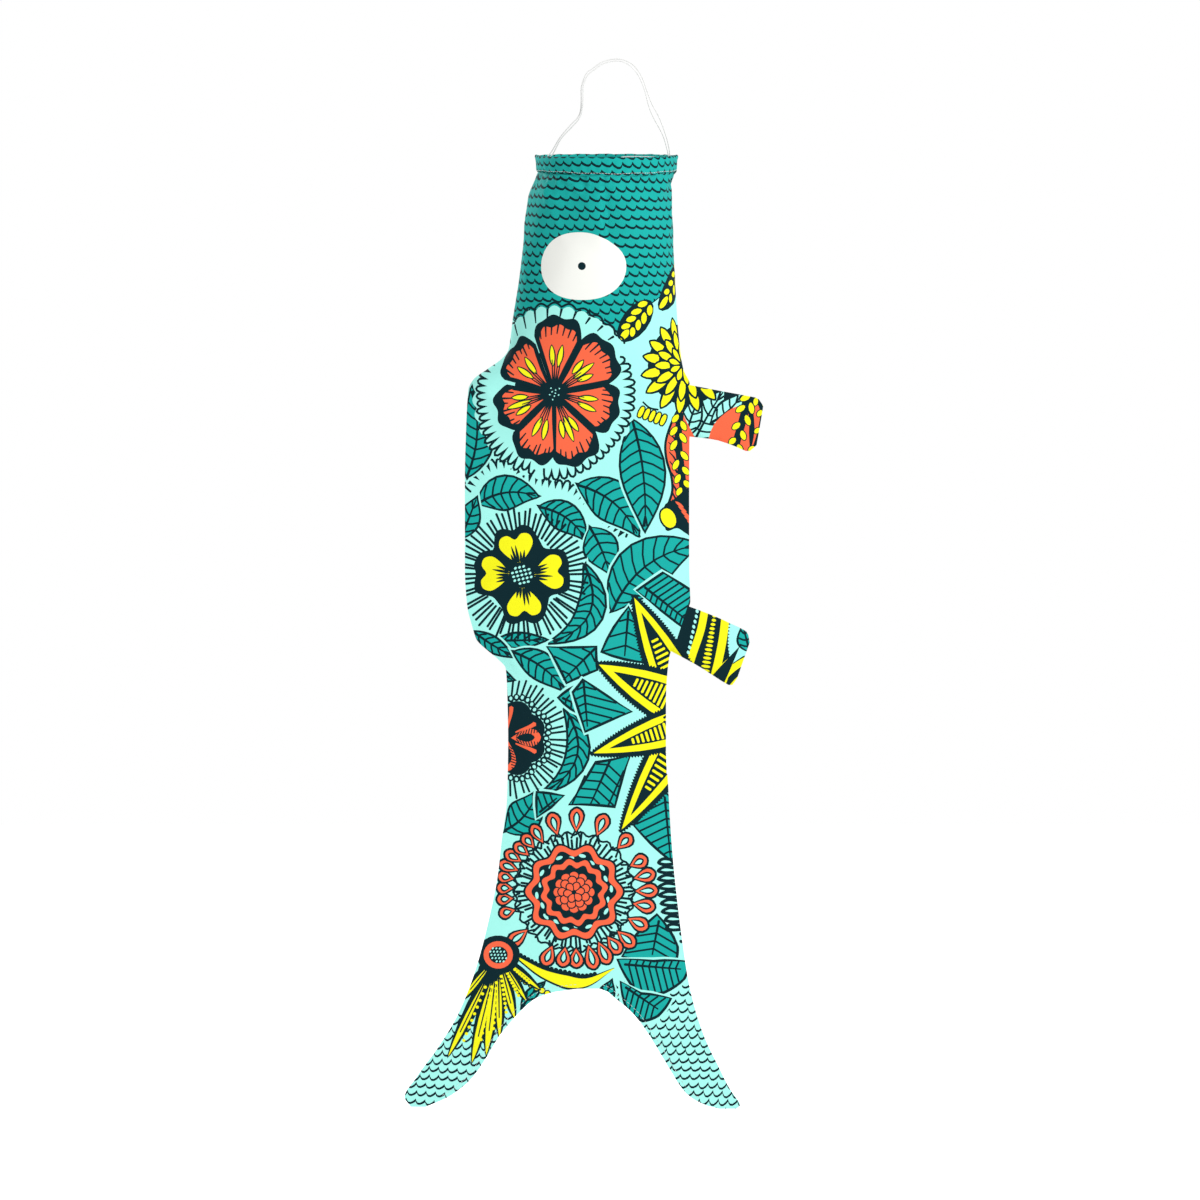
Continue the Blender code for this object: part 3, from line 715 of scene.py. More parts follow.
def way_out(outline, start, direction):
    """How far a ray from start travels before it leaves an outline."""
    edge, gap = np.roll(outline, -1, axis=0) - outline, outline - start
    cross = direction[0] * edge[:, 1] - direction[1] * edge[:, 0]
    cross[np.abs(cross) < 1e-9] = np.nan
    along = (gap[:, 0] * edge[:, 1] - gap[:, 1] * edge[:, 0]) / cross
    share = (gap[:, 0] * direction[1] - gap[:, 1] * direction[0]) / cross
    return along[(share >= 0) & (share <= 1) & (along > 0)].max(initial=0.0)


def patch_leaf(corners, rib, veins, bulge, lattice):
    """A leaf of straight-ish sides between corners, with a rib (start, end) and veins that end on
    its sides. A positive bulge rounds the sides outwards."""
    corner = np.array(seen_all(*corners))
    middle = corner.mean(axis=0)
    side = []
    for a, b in zip(corner, np.roll(corner, -1, axis=0)):
        out = unit((a + b) / 2 - middle) * np.linalg.norm(b - a) * bulge
        side += [a + (b - a) * s + out * 4 * s * (1 - s) for s in (0.0, 0.25, 0.5, 0.75)]
    side = np.array(side)
    outwards = unit_rows(side - middle)
    ink("mint", side + outwards * (LINE + HALO) * 1.2)
    ink("navy", side + outwards * LINE * 1.25)
    ink("teal", side)
    start, end = np.array(seen_all(*rib))
    axis = end - start
    ahead = unit(axis)
    normal = np.array([ahead[1], -ahead[0]])
    pen([start, start + axis * 0.5, end], [2.8, 2.3, 1.5])
    for k in range(veins):
        root = start + axis * (k + 0.6) / (veins + 0.4)
        for way in (1, -1):
            direction = normal * way + ahead * 0.35
            far = way_out(side, root, direction)
            if far > 2:
                pen([root, root + direction * far * 0.5, root + direction * far], VEIN)
    for way in (0.34, -0.34) if lattice else ():
        point = start + axis * 0.5 + normal * np.linalg.norm(axis) * way
        pen([point - ahead * way_out(side, point, -ahead),
             point + ahead * way_out(side, point, ahead)], VEIN)


def seed_string(path, count, size, seed=0):
    """Yellow seeds in pairs along a path, with dark ground between them."""
    p = through(path, 8)
    pen(p, size * 1.1)
    for k in range(count):
        index = int((k + 0.5) / count * (len(p) - 1))
        ahead = p[min(len(p) - 1, index + 1)] - p[index]
        turn = math.degrees(math.atan2(-ahead[1], ahead[0]))
        way = 1 if k % 2 else -1
        at = around(polar(p[index], turn + 90 * way, size * 0.42))
        outlined("yellow", at(turn + 180 + 35 * way, size * 0.3),
                 at(turn + 35 * way, size * (1.1 + 0.2 * wobble(k + seed))), size * 0.8,
                 line=1.1, blunt=0.55, steps=6)


def seed_grid(centre, most, step, slant, size, turn):
    """A round patch of small pale dots. slant shifts the columns and the rows."""
    for row in range(-2, 3):
        for column in range(-2, 3):
            if row * row + column * column < most:
                place = (centre[0] + step[0] * column + slant[0] * row,
                         centre[1] + step[1] * row + slant[1] * column)
                dot("mint", place, *size, turn(row * 5 + column), 8 if most > 6 else 6)


# ------------------------------------------------------------------------ the motifs
GILLS = [     # (x, down): where the teal head ends
    (-170, 172), (-98, 172), (-84, 182), (-66, 176), (-46, 164), (-20, 168), (4, 180), (14, 190),
    (25, 186), (32, 172), (44, 158), (58, 146), (69, 132), (84, 122), (170, 118),
]
SCALE_PITCH, SCALE_ROW = 11.0, 9.8
PRINT_EDGE = 240         # past the cloth on every side


def head_scales():
    """The teal head with its rows of scales, and the mint ground below the gills."""
    gills = through(seen_all(*GILLS), 4)
    ink("teal", [(-PRINT_EDGE, -20), (PRINT_EDGE, -20)] + list(gills[::-1]))
    for k in range(18):
        down = HEAD_TOP - 5 + SCALE_ROW * k
        offset = (k % 2) * SCALE_PITCH / 2 + 1.5 * wobble(k)
        scallops((-143 + offset, down - 1.5), (143 + offset, down + 2.5), SCALE_PITCH, 3.9, 2.6,
                 lean=2.3, sway=0.7, seed=k + 1)
    pen(gills, 2.2)
    ink("mint", list(gills) + [(PRINT_EDGE, 260), (-PRINT_EDGE, 260)])


def eye():
    """A plain pale egg with a small dark pupil."""
    centre = seen(-25.7, 117)
    ink("white", blob(centre, lambda a: 35.6 + 10.4 * math.cos(math.radians(a)) ** 2
                      - 3.2 * math.exp(-((a - 42) / 22) ** 2), 56, 1.02))
    dot("navy", centre, 8.4, 8.4)


def petal_edge(at, turn, spread, reach, fall, frill, number, count=12):
    """The frilled outer edge of a broad petal."""
    edge = []
    for k in range(-count, count + 1):
        radius = reach * (1 - fall * abs(k / count) ** 4)
        edge.append(at(turn + spread * k / count, radius + frill * math.sin(k * 8.6 / count + number)))
    return edge


def lobed_flower():
    """The large red flower with seven frilled petals in a fringe of loops."""
    centre = seen(-55, 249)
    lobes = [(86, 81), (35, 82), (-15, 76), (-66, 80), (-112, 76), (-163, 69), (140, 73)]
    at, wide = around(centre, 0.92), around(centre, 0.95)

    def frill(a):
        return 4.5 * abs(math.sin(math.radians(a * 17)))

    ink("mint", blob(centre, lambda a: 88 + frill(a), 204, 0.95))
    pen([wide(a, 91.0 + frill(a)) for a in np.arange(34, 160, 1.5)], 2.3)
    for k in range(4, 15):
        a = 360 * k / 34
        pen([wide(a, 89), wide(a + 1, 79 + 3 * wobble(k))], [2.8, 1.4])
    loops([polar(centre, a, 80, 0.93) for a in range(-98, 33, 6)], 8.0, 8.5, 2.4, side=-1, seed=3)
    loops([wide(a, 77) for a in range(148, 262, 6)], 7.0, 12, 2.4, side=-1, seed=5)
    for number, (turn, reach) in enumerate(lobes):
        ink("navy", [centre] + petal_edge(at, turn, 26.5, reach, 0.22, 2.0, number))
    dot("navy", centre, 84, 92, count=30)
    for number, (turn, reach) in enumerate(lobes):
        edge = petal_edge(at, turn, 21.5, reach - 10, 0.14, 1.7, number + 2)
        sides = ((20.5, 46), (18, 30), (12, 14))
        ink("red", edge + [at(turn + w, r) for w, r in sides] + [at(turn - w, r) for w, r in sides[::-1]])
        for k in range(-3, 4):
            a = turn + 5.8 * k + 1.2 * wobble(k + 9 * number)
            far = reach - 9 - 1.2 * abs(k)
            pen([at(a, far + 3), at(a + 1.2, far - 8 - 3 * wobble(k * number + 1))], [2.4, 1.3])
        for k in (-1, 0, 1) if number % 2 else (-0.6, 0.7):
            a = turn + 9.5 * k
            outlined("yellow", at(a, 27 + 3 * abs(k)), at(a + 1.5 * k, 55 - 7 * abs(k)), 4.6, line=1.5)
        for k in (-1.6, -0.6, 0.5, 1.5):
            far = 33 + 4 * wobble(number + 5 * k)
            pen([polar(centre, turn + 6 * k, 12), polar(centre, turn + 5 * k, far)], [1.8, 1.0])
    dot("navy", centre, 24, 24, count=20)
    for k in range(9):
        dot("mint", polar(centre, 140 * k, 1.6 + 0.75 * k), 1.9, 1.4, 40 * k, 6)


def daisy(centre, rings):
    """A yellow daisy: rings of pointed petals from outside in, (count, inner, outer, width)."""
    at = around(centre)
    for number, (count, inner, outer, width) in enumerate(rings):
        dot("navy", centre, 1.72 * outer, 1.72 * outer, count=24)
        for colour, grow in (("navy", 2.5), ("yellow", 0.0)):
            for k in range(count):
                a = 360 * (k + 0.5 * (number % 2)) / count + 4 * wobble(k + number)
                ink(colour, petal(at(a, inner), at(a, outer + 3 * wobble(2 * k + number)), width,
                                  belly=0.6, blunt=0.75, grow=grow))
    dot("navy", centre, 8, 8, count=10)


def bud(base, tip):
    """A yellow bud of paired seeds on a dark ground."""
    base, tip = np.array(seen(*base)), np.array(seen(*tip))
    ink("navy", petal(base, tip, 25, blunt=0.5, grow=2.0))
    axis = tip - base
    turn = math.degrees(math.atan2(-axis[1], axis[0]))
    for k in range(4):
        at = around(base + axis * (0.02 + 0.2 * k))
        for way in (1, -1):
            outlined("yellow", at(turn + 60 * way, 2.2), at(turn + 38 * way, 14.5 - 1.2 * abs(k - 1)),
                     6.2, line=1.2, blunt=0.55, steps=6)
    outlined("yellow", base + axis * 0.74, tip, 7, line=1.2, blunt=0.5, steps=7)


def bars(centre, turned, count, width, tall, gap):
    """A few rounded yellow bars side by side, under a short stroke."""
    for k in range(count):
        at = around(polar(centre, turned, (k - (count - 1) / 2) * gap))
        outlined("yellow", at(turned + 84, -tall / 2), at(turned + 84, tall / 2), width, line=1.5,
                 blunt=0.3, steps=7)
    pen(through(seen_all((38, 258), (45, 264), (54, 266)), 4), 1.9)


def pod():
    """The red pod with its string of seeds, cut by the belly edge."""
    side = through(seen_all((77, 264), (69, 280), (63, 300), (64, 318), (69, 335), (70, 352),
                            (64, 370)), 5)
    pen(side, 5.5)
    ink("red", np.vstack([side, seen_all((97, 372), (97, 330), (95, 300))]))
    for k in range(8):
        y = 290 + 10 * k
        pen(seen_all((64 + 0.7 * k, y), (70, y + 5), (74, y + 12)), [1.0, 1.8, 2.6])
    seed_string(seen_all((77, 270), (75, 296), (78, 328), (81, 356)), 11, 7.4)
    ink("navy", through(seen_all((60, 368), (70, 360), (92, 348), (96, 400), (84, 396), (74, 390),
                                 (62, 392)), 4, closed=True))
    for k in range(7):
        place = seen(72 + 3.1 * k, 362 + 5.0 * k)
        ink("red", petal(place, (place[0] + 9, place[1] + 6.5), 3.0))
    outlined("yellow", seen(60, 370), seen(69.5, 389), 15, line=2.0, blunt=0.4)


def heart_flower():
    """The yellow flower of four heart-shaped petals on a dark ground."""
    centre = seen(-88.5, 439)
    at = around(centre)
    turns = (101, 6, -86, 178)
    heart = [(0, 11, 0), (1, 19, 22), (1, 28, 29), (1, 37, 29), (1, 43.5, 21), (1, 43.5, 10),
             (0, 37.5, 0)]

    def reach(a):
        nearest = min(abs((a - t + 180) % 360 - 180) for t in turns)
        edge = max(0.0, nearest - 19) / 15
        return (37 + 15 * math.exp(-edge ** 2) - 3.5 * math.exp(-(nearest / 7) ** 2)
                + math.sin(math.radians(13 * a)))

    ticks(centre, 66, 42, 68, width=2.5)
    ink("navy", blob(centre, reach, 90))
    for number, turn in enumerate(turns):
        upper = [at(turn + a * w, r) for w, r, a in heart]
        lower = [at(turn - a * w, r) for w, r, a in heart[-2:0:-1]]
        ink("yellow", through(upper + lower, 3, closed=True))
        for k in (-2.1, -1.0, 0.2, 1.2, 2.2):
            far = 29 + 4 * wobble(number * 7 + 3 * k)
            ink("navy", petal(at(turn + 9 * k, 12), at(turn + 8 * k, far), 3.0, belly=0.35))
    dot("navy", centre, 27, 27, count=20)
    seed_grid(centre, 7, (4.3, 4.0), (1.2, -1.0), (3.3, 2.5), lambda n: 30 + 20 * wobble(n))


def looped_flower():
    """The dark flower on the back edge, with a red loop and a ring of pale dots."""
    centre = seen(-103, 610)
    at = around(centre)
    ticks(centre, 58, 44, 62, width=2.3)

    def edge(a):
        return 36 + 5 * abs(math.cos(math.radians(4 * (a - 22))))

    for colour, out, across, tall in (("navy", 4, 8.2, 7.6), ("mint", 4.4, 4.2, 3.4)):
        for a in [360 * k / 46 for k in range(46)]:
            dot(colour, at(a, edge(a) + out), across, tall, a, 8)
    ink("navy", blob(centre, edge, 72))
    for turn in (2, -92, 182):
        outlined("red", at(turn, 3), at(turn, 35), 19, line=1.2, belly=0.66, blunt=0.6)
        ink("navy", petal(at(turn, 8), at(turn, 28.5), 9, belly=0.62, blunt=0.6))
        for r in [9 + 3.2 * k for k in range(8)]:
            for way in (-1, 1):
                pen([at(turn + way * 9, r), at(turn + way * 22, r + 3.5)], 1.2)
    for turn, way in ((40, -1), (-38, 1), (96, -1), (-128, 1)):
        arc = [at(turn + way * (2 + 4.5 * k) * (1.4 - 0.2 * k), 10 + 5.6 * k) for k in range(5)]
        ink("red", stroke(through(arc, 3), np.linspace(1.4, 4.6, 13)))


def wavy_ring(centre, radius, width, waves, amount, turned=0.0):
    """A red ring with dark edges that waves in and out."""
    for colour, r in (("navy", radius + width / 2 + 2.3), ("red", radius + width / 2),
                      ("navy", radius - width / 2)):
        ink(colour, blob(centre, lambda a: r + amount * math.cos(math.radians(waves * (a - turned)))
                         + 0.5 * math.sin(math.radians(7 * a)), 120))


def mandala():
    """The round red flower of the tail: a rosette in wavy rings, with stalked loops round it."""
    centre = seen(-34, 772)
    at = around(centre)
    ticks(centre, 66, 46, 59, width=2.5, uneven=4.0)
    pen([at(3 * k, 60 + 4 * math.cos(math.radians(3 * k * 13)) ** 2) for k in range(121)], 2.2)
    turns = [106, 88, 68, 45, 25, 13, 1, -11, -26, -42, -53, -64, -75, -88, -99, -112, -141, -163,
             -174, 177, 168, 159, 150, 141, 132, 122]
    for number, turn in enumerate(turns):
        tall = 1.0 if -160 < turn < 115 else 0.82
        near, far = 63 + 2 * wobble(number), 63 + 23 * tall + 2.2 * wobble(number * 3)
        if -130 < turn < -45:
            near, far = near - 3, far - 5
        pen([at(turn - 5, 57), at(turn, near + 3), at(turn + 5, 57)], 2.4)
        outlined("red", at(turn, near), at(turn, far), 13.5 * tall, line=2.4, belly=0.66, blunt=0.6)
        outlined("mint", at(turn, near + 5), at(turn, far - 5), 4.0, line=1.9, belly=0.62)
    wavy_ring(centre, 44.5, 6.5, 10, 3.4)
    for a in [18 * k + 6 for k in range(20)]:
        middle = 37.8 + 3.2 * math.cos(math.radians(10 * a))
        ink("mint", petal(at(a - 6.4, middle), at(a + 4.6, middle), 3.6, blunt=0.45))
    wavy_ring(centre, 30.5, 6, 12, 2.0, turned=9)
    dot("navy", centre, 49, 49, count=30)
    for count, near, far, width, start in ((12, 12.5, 21.5, 9, 0), (9, 7, 16.5, 8, 18),
                                           (6, 2.2, 10.5, 6.5, 9)):
        for a in [start + 360 * k / count for k in range(count)]:
            outlined("red", at(a, near), at(a, far), width, line=1.3, belly=0.6, blunt=0.5)
    dot("navy", centre, 5, 5, count=10)


def spike(tip, base, width, band=6.5):
    """A long petal edged with yellow bands, with a dark heart and a toothed rim."""
    tip, base = np.array(seen(*tip)), np.array(seen(*base))
    long, axis = np.linalg.norm(base - tip), unit(base - tip)
    normal = np.array([-axis[1], axis[0]])
    teeth = 2 * int(long / 2.9)
    rim = []
    for way in (1, -1):
        side = []
        for k in range(teeth + 1):
            half = (width / 2 + 5.0) * math.sin(math.pi / 2 * (k / teeth) ** 0.95) ** 0.85
            side.append(tip + axis * (long * 1.05 * k / teeth - 4)
                        + normal * way * (half + (2.0 if k % 2 else 0.0)))
        rim += side[::way]
    ink("navy", rim)
    ink("yellow", petal(tip, tip + axis * long * 2, width, blunt=0.95, steps=13))
    inner, core = tip + axis * band * 2.6, width - 2 * band
    ink("navy", petal(inner, inner + axis * long * 1.9, core, blunt=0.95, steps=13))
    for k in range(8):
        place = tip + axis * long * (0.46 + 0.055 * k)
        half = normal * (core / 2 - 2.0) * (0.3 + 0.09 * k)
        ink("yellow", stroke([place - half, place + half], 2.7))
    ink("yellow", petal(tip + axis * long * 0.9, tip + axis * long * 1.5, core, blunt=0.5))


def spiky_flower():
    """The yellow spiked flower on the belly edge."""
    dot("navy", seen(74, 588), 46, 60, count=24)
    for tip, base, width in (((29, 463), (76, 560), 40), ((16, 706), (76, 612), 38),
                             ((-8, 533), (76, 574), 44), ((-13.5, 626), (76, 598), 34)):
        spike(tip, base, width)
    for k in range(3):
        pen(through(seen_all((80, 566 + 14 * k), (66 + 2 * k, 573 + 11 * k), (60, 585 + 4 * k)), 4), 2.6)


def spray():
    """The yellow spray over the back lobe, with one long ray under the mandala."""
    heart = seen(-113.5, 838)
    line = through(seen_all((-94, 840), (-62, 859), (-25, 867), (8, 852)), 8)
    swell = np.concatenate([np.linspace(5, 17, 13), np.linspace(17, 1, 12)])
    pen(line, swell)
    for k in range(1, 20):
        dot("navy", line[k] + [0, -swell[k] / 2 - 0.6], 5.2, 6.0, count=8)
    core = np.concatenate([np.linspace(1.5, 12, 13), np.linspace(12, 0.6, 12)])
    ink("yellow", stroke(line + [0, 0.3], core))
    for k in range(7):
        x, y = seen(-90 + 5.6 * k, 863 + 3.1 * k)
        outlined("yellow", (x - 2.6, y), (x + 2.6, y), 5.2, line=1.3, blunt=0.4, steps=6)
    ends = [
        (-152, 886, 6), (-166, 945, 7), (-141, 951, 9), (-126, 943, 9), (-112, 925, 7), (-96, 905, 7),
        (-84, 886, 5), (-70, 874, 5),
    ]
    for x, y, width in ends:
        ink("navy", petal(heart, seen(x, y), width + 3, grow=2.2))
    ink("navy", petal(heart, seen(-128, 893), 34, belly=0.4, blunt=0.6))
    ink("navy", petal(heart, seen(-92, 874), 22, belly=0.4, blunt=0.6))
    middle = np.array(heart)
    for x, y, width in ends:
        tip = np.array(seen(x, y))
        start = middle + (tip - middle) * 0.2
        ink("yellow", petal(start, tip, width - 1, belly=0.55, blunt=0.8))
        pen([start, start * 0.3 + tip * 0.7], [1.9, 1.2])
    for (x0, y0, _), (x1, y1, _) in zip(ends[1:], ends[2:]):
        ray = np.array(seen((x0 + x1) / 2, (y0 + y1) / 2 - 10)) - middle
        for k in range(9):
            dot("yellow", middle + ray * (0.34 + 0.07 * k), 3.6, 3.4, 0, 8)
    for colour, across, tall, count in (("navy", 46, 41, 22), ("red", 31, 29, 22), ("navy", 20, 18, 18)):
        dot(colour, heart, across, tall, count=count)
    seed_grid(heart, 6, (3.6, 3.4), (1, 0), (2.6, 1.9), lambda n: 50)


def squiggle():
    """Dark curls on the belly edge beside the mandala."""
    for number in range(9):
        y = 738 + 8.6 * number
        x = 57 + 0.12 * (y - 742)
        curl = ((x + 13, y), (x + 3, y - 1), (x - 2 - 3 * wobble(number), y + 3), (x + 4, y + 5),
                (x + 13, y + 4.6))
        pen(through(seen_all(*curl), 4), 3.4)
    for number in range(12):
        y = 736 + 8 * number
        dot("navy", seen(72 + 0.1 * (y - 742) + 2 * wobble(number), y), 4.5, 3.6, 30 * number, 8)


LEAVES = [   # base, tip, width, bend to the left of the way, veins
    ((-146, 336), (-141, 243), 36, -9, 8), ((-134, 364), (-72, 357), 34, 8, 6),
    ((-70, 368), (-22, 402), 28, 7, 7), ((-30, 345), (33, 398), 41, 10, 7),
    ((27, 277), (40, 392), 45, 5, 9), ((-17, 390), (3, 437), 34, 2, 4),
    ((6, 477), (98, 408), 52, 17, 9), ((-23, 428), (-60, 510), 27, 26, 9),
    ((-115, 508), (-64, 507), 14, 0, 4), ((-139, 499), (-98, 524), 15, -1, 5),
    ((-97, 520), (-42, 561), 27, 5, 6),
    ((-44, 578), (-68, 668), 22, 26, 9), ((-106, 707), (-73, 666), 34, -6, 5),
    ((-152, 400), (-136, 359), 22, 0, 4), ((-139, 541), (-98, 549), 16, 2, 4),
    ((-4, 889), (5, 866), 14, 0, 3), ((-88, 893), (-66, 868), 9, 2, 2),
]
PATCH_LEAVES = [   # corners, rib, veins, bulge of the sides, lattice
    (((33, 456), (60, 438), (96, 462), (96, 500), (86, 497)), ((40, 452), (94, 494)), 10, 0.0, False),
    (((23, 474), (-4, 519), (42, 530)), ((23, 477), (19, 524)), 3, 0.03, False),
    (((-61, 515), (-12, 515), (-11, 538), (-41, 551)), ((-12, 516), (-45, 549)), 4, -0.03, False),
    (((-49, 568), (-31, 556), (-25, 586)), ((-46, 568), (-26, 577)), 3, 0.03, False),
    (((-24, 550), (25, 582), (-22, 602), (-34, 563)), ((-24, 551), (-20, 598)), 5, -0.02, False),
    (((24, 629), (8, 681), (-38, 679), (-11, 637)), ((4, 633), (-17, 680)), 5, -0.03, True),
    (((-72, 668), (-46, 671), (-72, 692)), ((-70, 688), (-52, 673)), 3, 0.0, False),
    (((62, 668), (84, 700), (84, 742), (68, 738), (30, 702)), ((61, 672), (67, 736)), 7, 0.02, False),
    (((53, 797), (73, 829), (72, 842), (18, 839)), ((55, 802), (48, 838)), 4, 0.05, False),
    (((13, 843), (50, 846), (86, 846), (80, 863), (60, 876), (34, 877)), ((19, 848), (78, 853)),
     8, 0.05, False),
    (((16, 867), (37, 880), (66, 884), (53, 901), (38, 906), (23, 895)), ((20, 872), (54, 895)),
     6, 0.05, False),
]


def tail_scales():
    """The scale rows of the two lobes."""
    for first, last, left, right, rise, seed in ((897, 1001, -236, -60, (-4, 6), 0),
                                                 (868, 1003, 0, 160, (-1, 2), 30)):
        for number, down in enumerate(np.arange(first, last, 8.7)):
            offset = 5 * wobble(number + seed)
            scallops((left + offset, down + rise[0]), (right + offset, down + rise[1]), 9.8, 4.8, 2.5,
                     lean=-1.6, sway=0.5, seed=40 + seed + number)


def upper_fin_print():
    """Veined pale leaves and a red seeded pod on the upper fin."""
    ink("navy", seen_all((85, 236), (172, 236), (172, 315), (85, 315)))
    leaf((90, 303), (123, 246), 31, 2, 6, colour="mint")
    leaf((83, 294), (97, 252), 19, 1, 4, colour="mint")
    leaf((110, 279), (142, 249), 20, -3, 4, colour="mint")
    for red in (
        ((106, 302), (112, 282), (126, 268), (139, 262), (148, 268), (149, 290), (146, 318), (110, 318)),
        ((152, 246), (168, 250), (172, 280), (160, 318), (150, 318), (155, 286)),
    ):
        ink("red", through(seen_all(*red), 4, closed=True))
    seed_string(seen_all((152, 252), (146, 264), (141, 282), (136, 300), (134, 314)), 9, 7.4, 3)
    seed_string(seen_all((158, 252), (164, 268), (161, 290), (154, 312)), 7, 6.2, 8)


def lower_fin_print():
    """Yellow bands on a dark ground, a toothed pale gusset and one leaf on the lower fin."""
    ink("navy", seen_all((88, 462), (160, 462), (160, 566), (66, 566), (66, 530)))
    ink("mint", seen_all((128, 478), (156, 484), (156, 520), (143, 524), (130, 533), (127, 512)))
    loops(seen_all((130, 480), (127, 508), (129, 533)), 3.6, 2.4, 2.2, side=-1)
    leaf((150, 519), (143, 493), 17, 0, 3)
    for points, width in (
        (((104, 470), (99, 496), (91, 520), (86, 536), (79, 558)), 8),
        (((125, 480), (122, 505), (117, 530), (111, 554)), 8.5),
        (((157, 523), (138, 533), (124, 545), (112, 563)), 7),
        (((160, 537), (144, 544), (131, 557), (124, 568)), 6),
    ):
        ink("yellow", stroke(through(seen_all(*points), 5), width))
    for k in range(15):
        dot("yellow", seen(113 - 0.75 * k, 482 + 4.4 * k), 4.2 + 0.45 * k, 3.1, -8, 10)
    for k in range(9):
        dot("mint", seen(95 - 1.15 * k, 477 + 5.4 * k), 3.2, 4.2, 20, 8)


def draw_print():
    """Every motif, in the order that it lies on the cloth."""
    head_scales()
    loops(seen_all((-142, 352), (-128, 333), (-104, 326), (-88, 338)), 7.5, 9.0, 2.4, seed=2)
    loops(seen_all((-88, 340), (-62, 346), (-38, 352), (-16, 372), (6, 394), (17, 404)), 7.0, 10.5,
          2.4, seed=7)
    tail_scales()
    for row in LEAVES:
        leaf(*row)
    for row in PATCH_LEAVES:
        patch_leaf(*row)
    squiggle()
    upper_fin_print()
    pod()
    daisy(seen(79, 219), ((15, 17, 49, 9.2), (13, 10, 35, 7.6), (9, 4, 20, 5.6)))
    bud((80, 114), (55, 160))
    bud((45, 154), (15, 193))
    bars(seen(47.6, 272.5), -20, 5, 4.6, 12, 6.2)
    for motif in (lobed_flower, heart_flower, looped_flower, lower_fin_print, spiky_flower, mandala,
                  spray, eye):
        motif()


# --------------------------------------------------------- cutting the printed cloth

def border_points(border):
    """A fin's border from its root to its tip, flat."""
    found = []
    for at in [k / 10 * (len(border) - 1) for k in range(11)]:
        down, x = (smooth_value([(i, p[n]) for i, p in enumerate(border)], at) for n in (0, 1))
        found.append(flat(x, down))
    return found


def cloth_outline():
    """The fish's outline, flat: down the back edge, round the fork and up the belly edge."""
    def edge(start, end, which, step=3.0):
        count = max(2, int(abs(end - start) / step))
        return [(float(flat_edges(d)[which]), float(d)) for d in np.linspace(start, end, count)]

    def fork(table):
        downs = np.linspace(table[0][0], table[-1][0], 40)
        return [flat(smooth_value(table, d), d) for d in downs]

    outline = edge(HEAD_TOP, 998, 0) + fork(FORK_BACK_SIDE)[::-1] + fork(FORK_BELLY_SIDE)
    outline += edge(1000, LOWER_FIN["bottom"][0][0] + 2, 1)
    for fin, above in ((LOWER_FIN, UPPER_FIN["bottom"][0][0] + 2), (UPPER_FIN, HEAD_TOP)):
        outline += border_points(fin["bottom"]) + border_points(fin["top"])[::-1]
        outline += edge(fin["top"][0][0] - 2, above, 1)
    return np.array(outline)


def fin_region(fin):
    """The flat cloth that goes with a fin: all of the fin and a strip of body at its root."""
    top, bottom = fin["top"][0][0] - 5, fin["bottom"][0][0] + 5
    downs = np.linspace(top, bottom, 12)
    inner = [(float(flat_edges(d)[1]) - FIN_STRIP, float(d)) for d in downs]
    outside = float(flat_edges(bottom)[1]) + 0.5
    below = [(outside, bottom), (outside, bottom + 60), (PRINT_EDGE, bottom + 60)]
    return np.array([(PRINT_EDGE, top)] + inner + below)


def winding_inside(points, outline):
    """Which points lie inside an outline that may cross itself."""
    x, y = points[:, 0], points[:, 1]
    turns = np.zeros(len(points), int)
    for (x0, y0), (x1, y1) in zip(outline, np.roll(outline, -1, axis=0)):
        cross = (x1 - x0) * (y - y0) - (x - x0) * (y1 - y0)
        turns += (y0 <= y) & (y1 > y) & (cross > 0)
        turns -= (y0 > y) & (y1 <= y) & (cross < 0)
    return turns != 0


def bending_points(outline):
    """The cloth's own points, so that it can bend between the print's lines."""
    found = []
    low, high = outline.min(axis=0), outline.max(axis=0)
    for top, bottom, step in ((low[1], HEAD_GRID_END, FINE_GRID),
                              (HEAD_GRID_END, high[1], COARSE_GRID)):
        for k, down in enumerate(np.arange(top + step / 2, bottom, step)):
            across = np.arange(low[0] + (k % 2) * step / 2, high[0], step)
            found.append(np.stack([across, np.full(len(across), down)], axis=1))
    found = np.vstack(found)
    return found[winding_inside(found, outline)]


def cut_mesh(outline, lines, extra):
    """Flat points and triangles inside the outline, with an edge along every given line."""
    points, edges = [], []
    start = 0
    for line in [outline] + lines:
        points.append(line)
        ring = np.arange(start, start + len(line))
        edges += list(zip(ring.tolist(), np.roll(ring, -1).tolist()))
        start += len(line)
    verts = [Vector(p) for p in np.vstack(points + [extra])]
    made, _, faces, _, _, _ = delaunay_2d_cdt(verts, edges, [], 0, 1e-5, False)
    flat_points = np.array([tuple(v) for v in made])
    triangles = np.array([tuple(f) for f in faces])
    middles = flat_points[triangles].mean(axis=1)
    inside = winding_inside(middles, outline)
    return flat_points, triangles[inside], middles[inside]


def paint(middles, layers, ground):
    """The colour of the last layer printed over each triangle's middle, or else the ground's."""
    colours = np.full(len(middles), ground)
    for colour, outline in layers:
        low, high = outline.min(axis=0), outline.max(axis=0)
        near = np.flatnonzero(((middles >= low) & (middles <= high)).all(axis=1))
        colours[near[winding_inside(middles[near], outline)]] = colour
    return colours


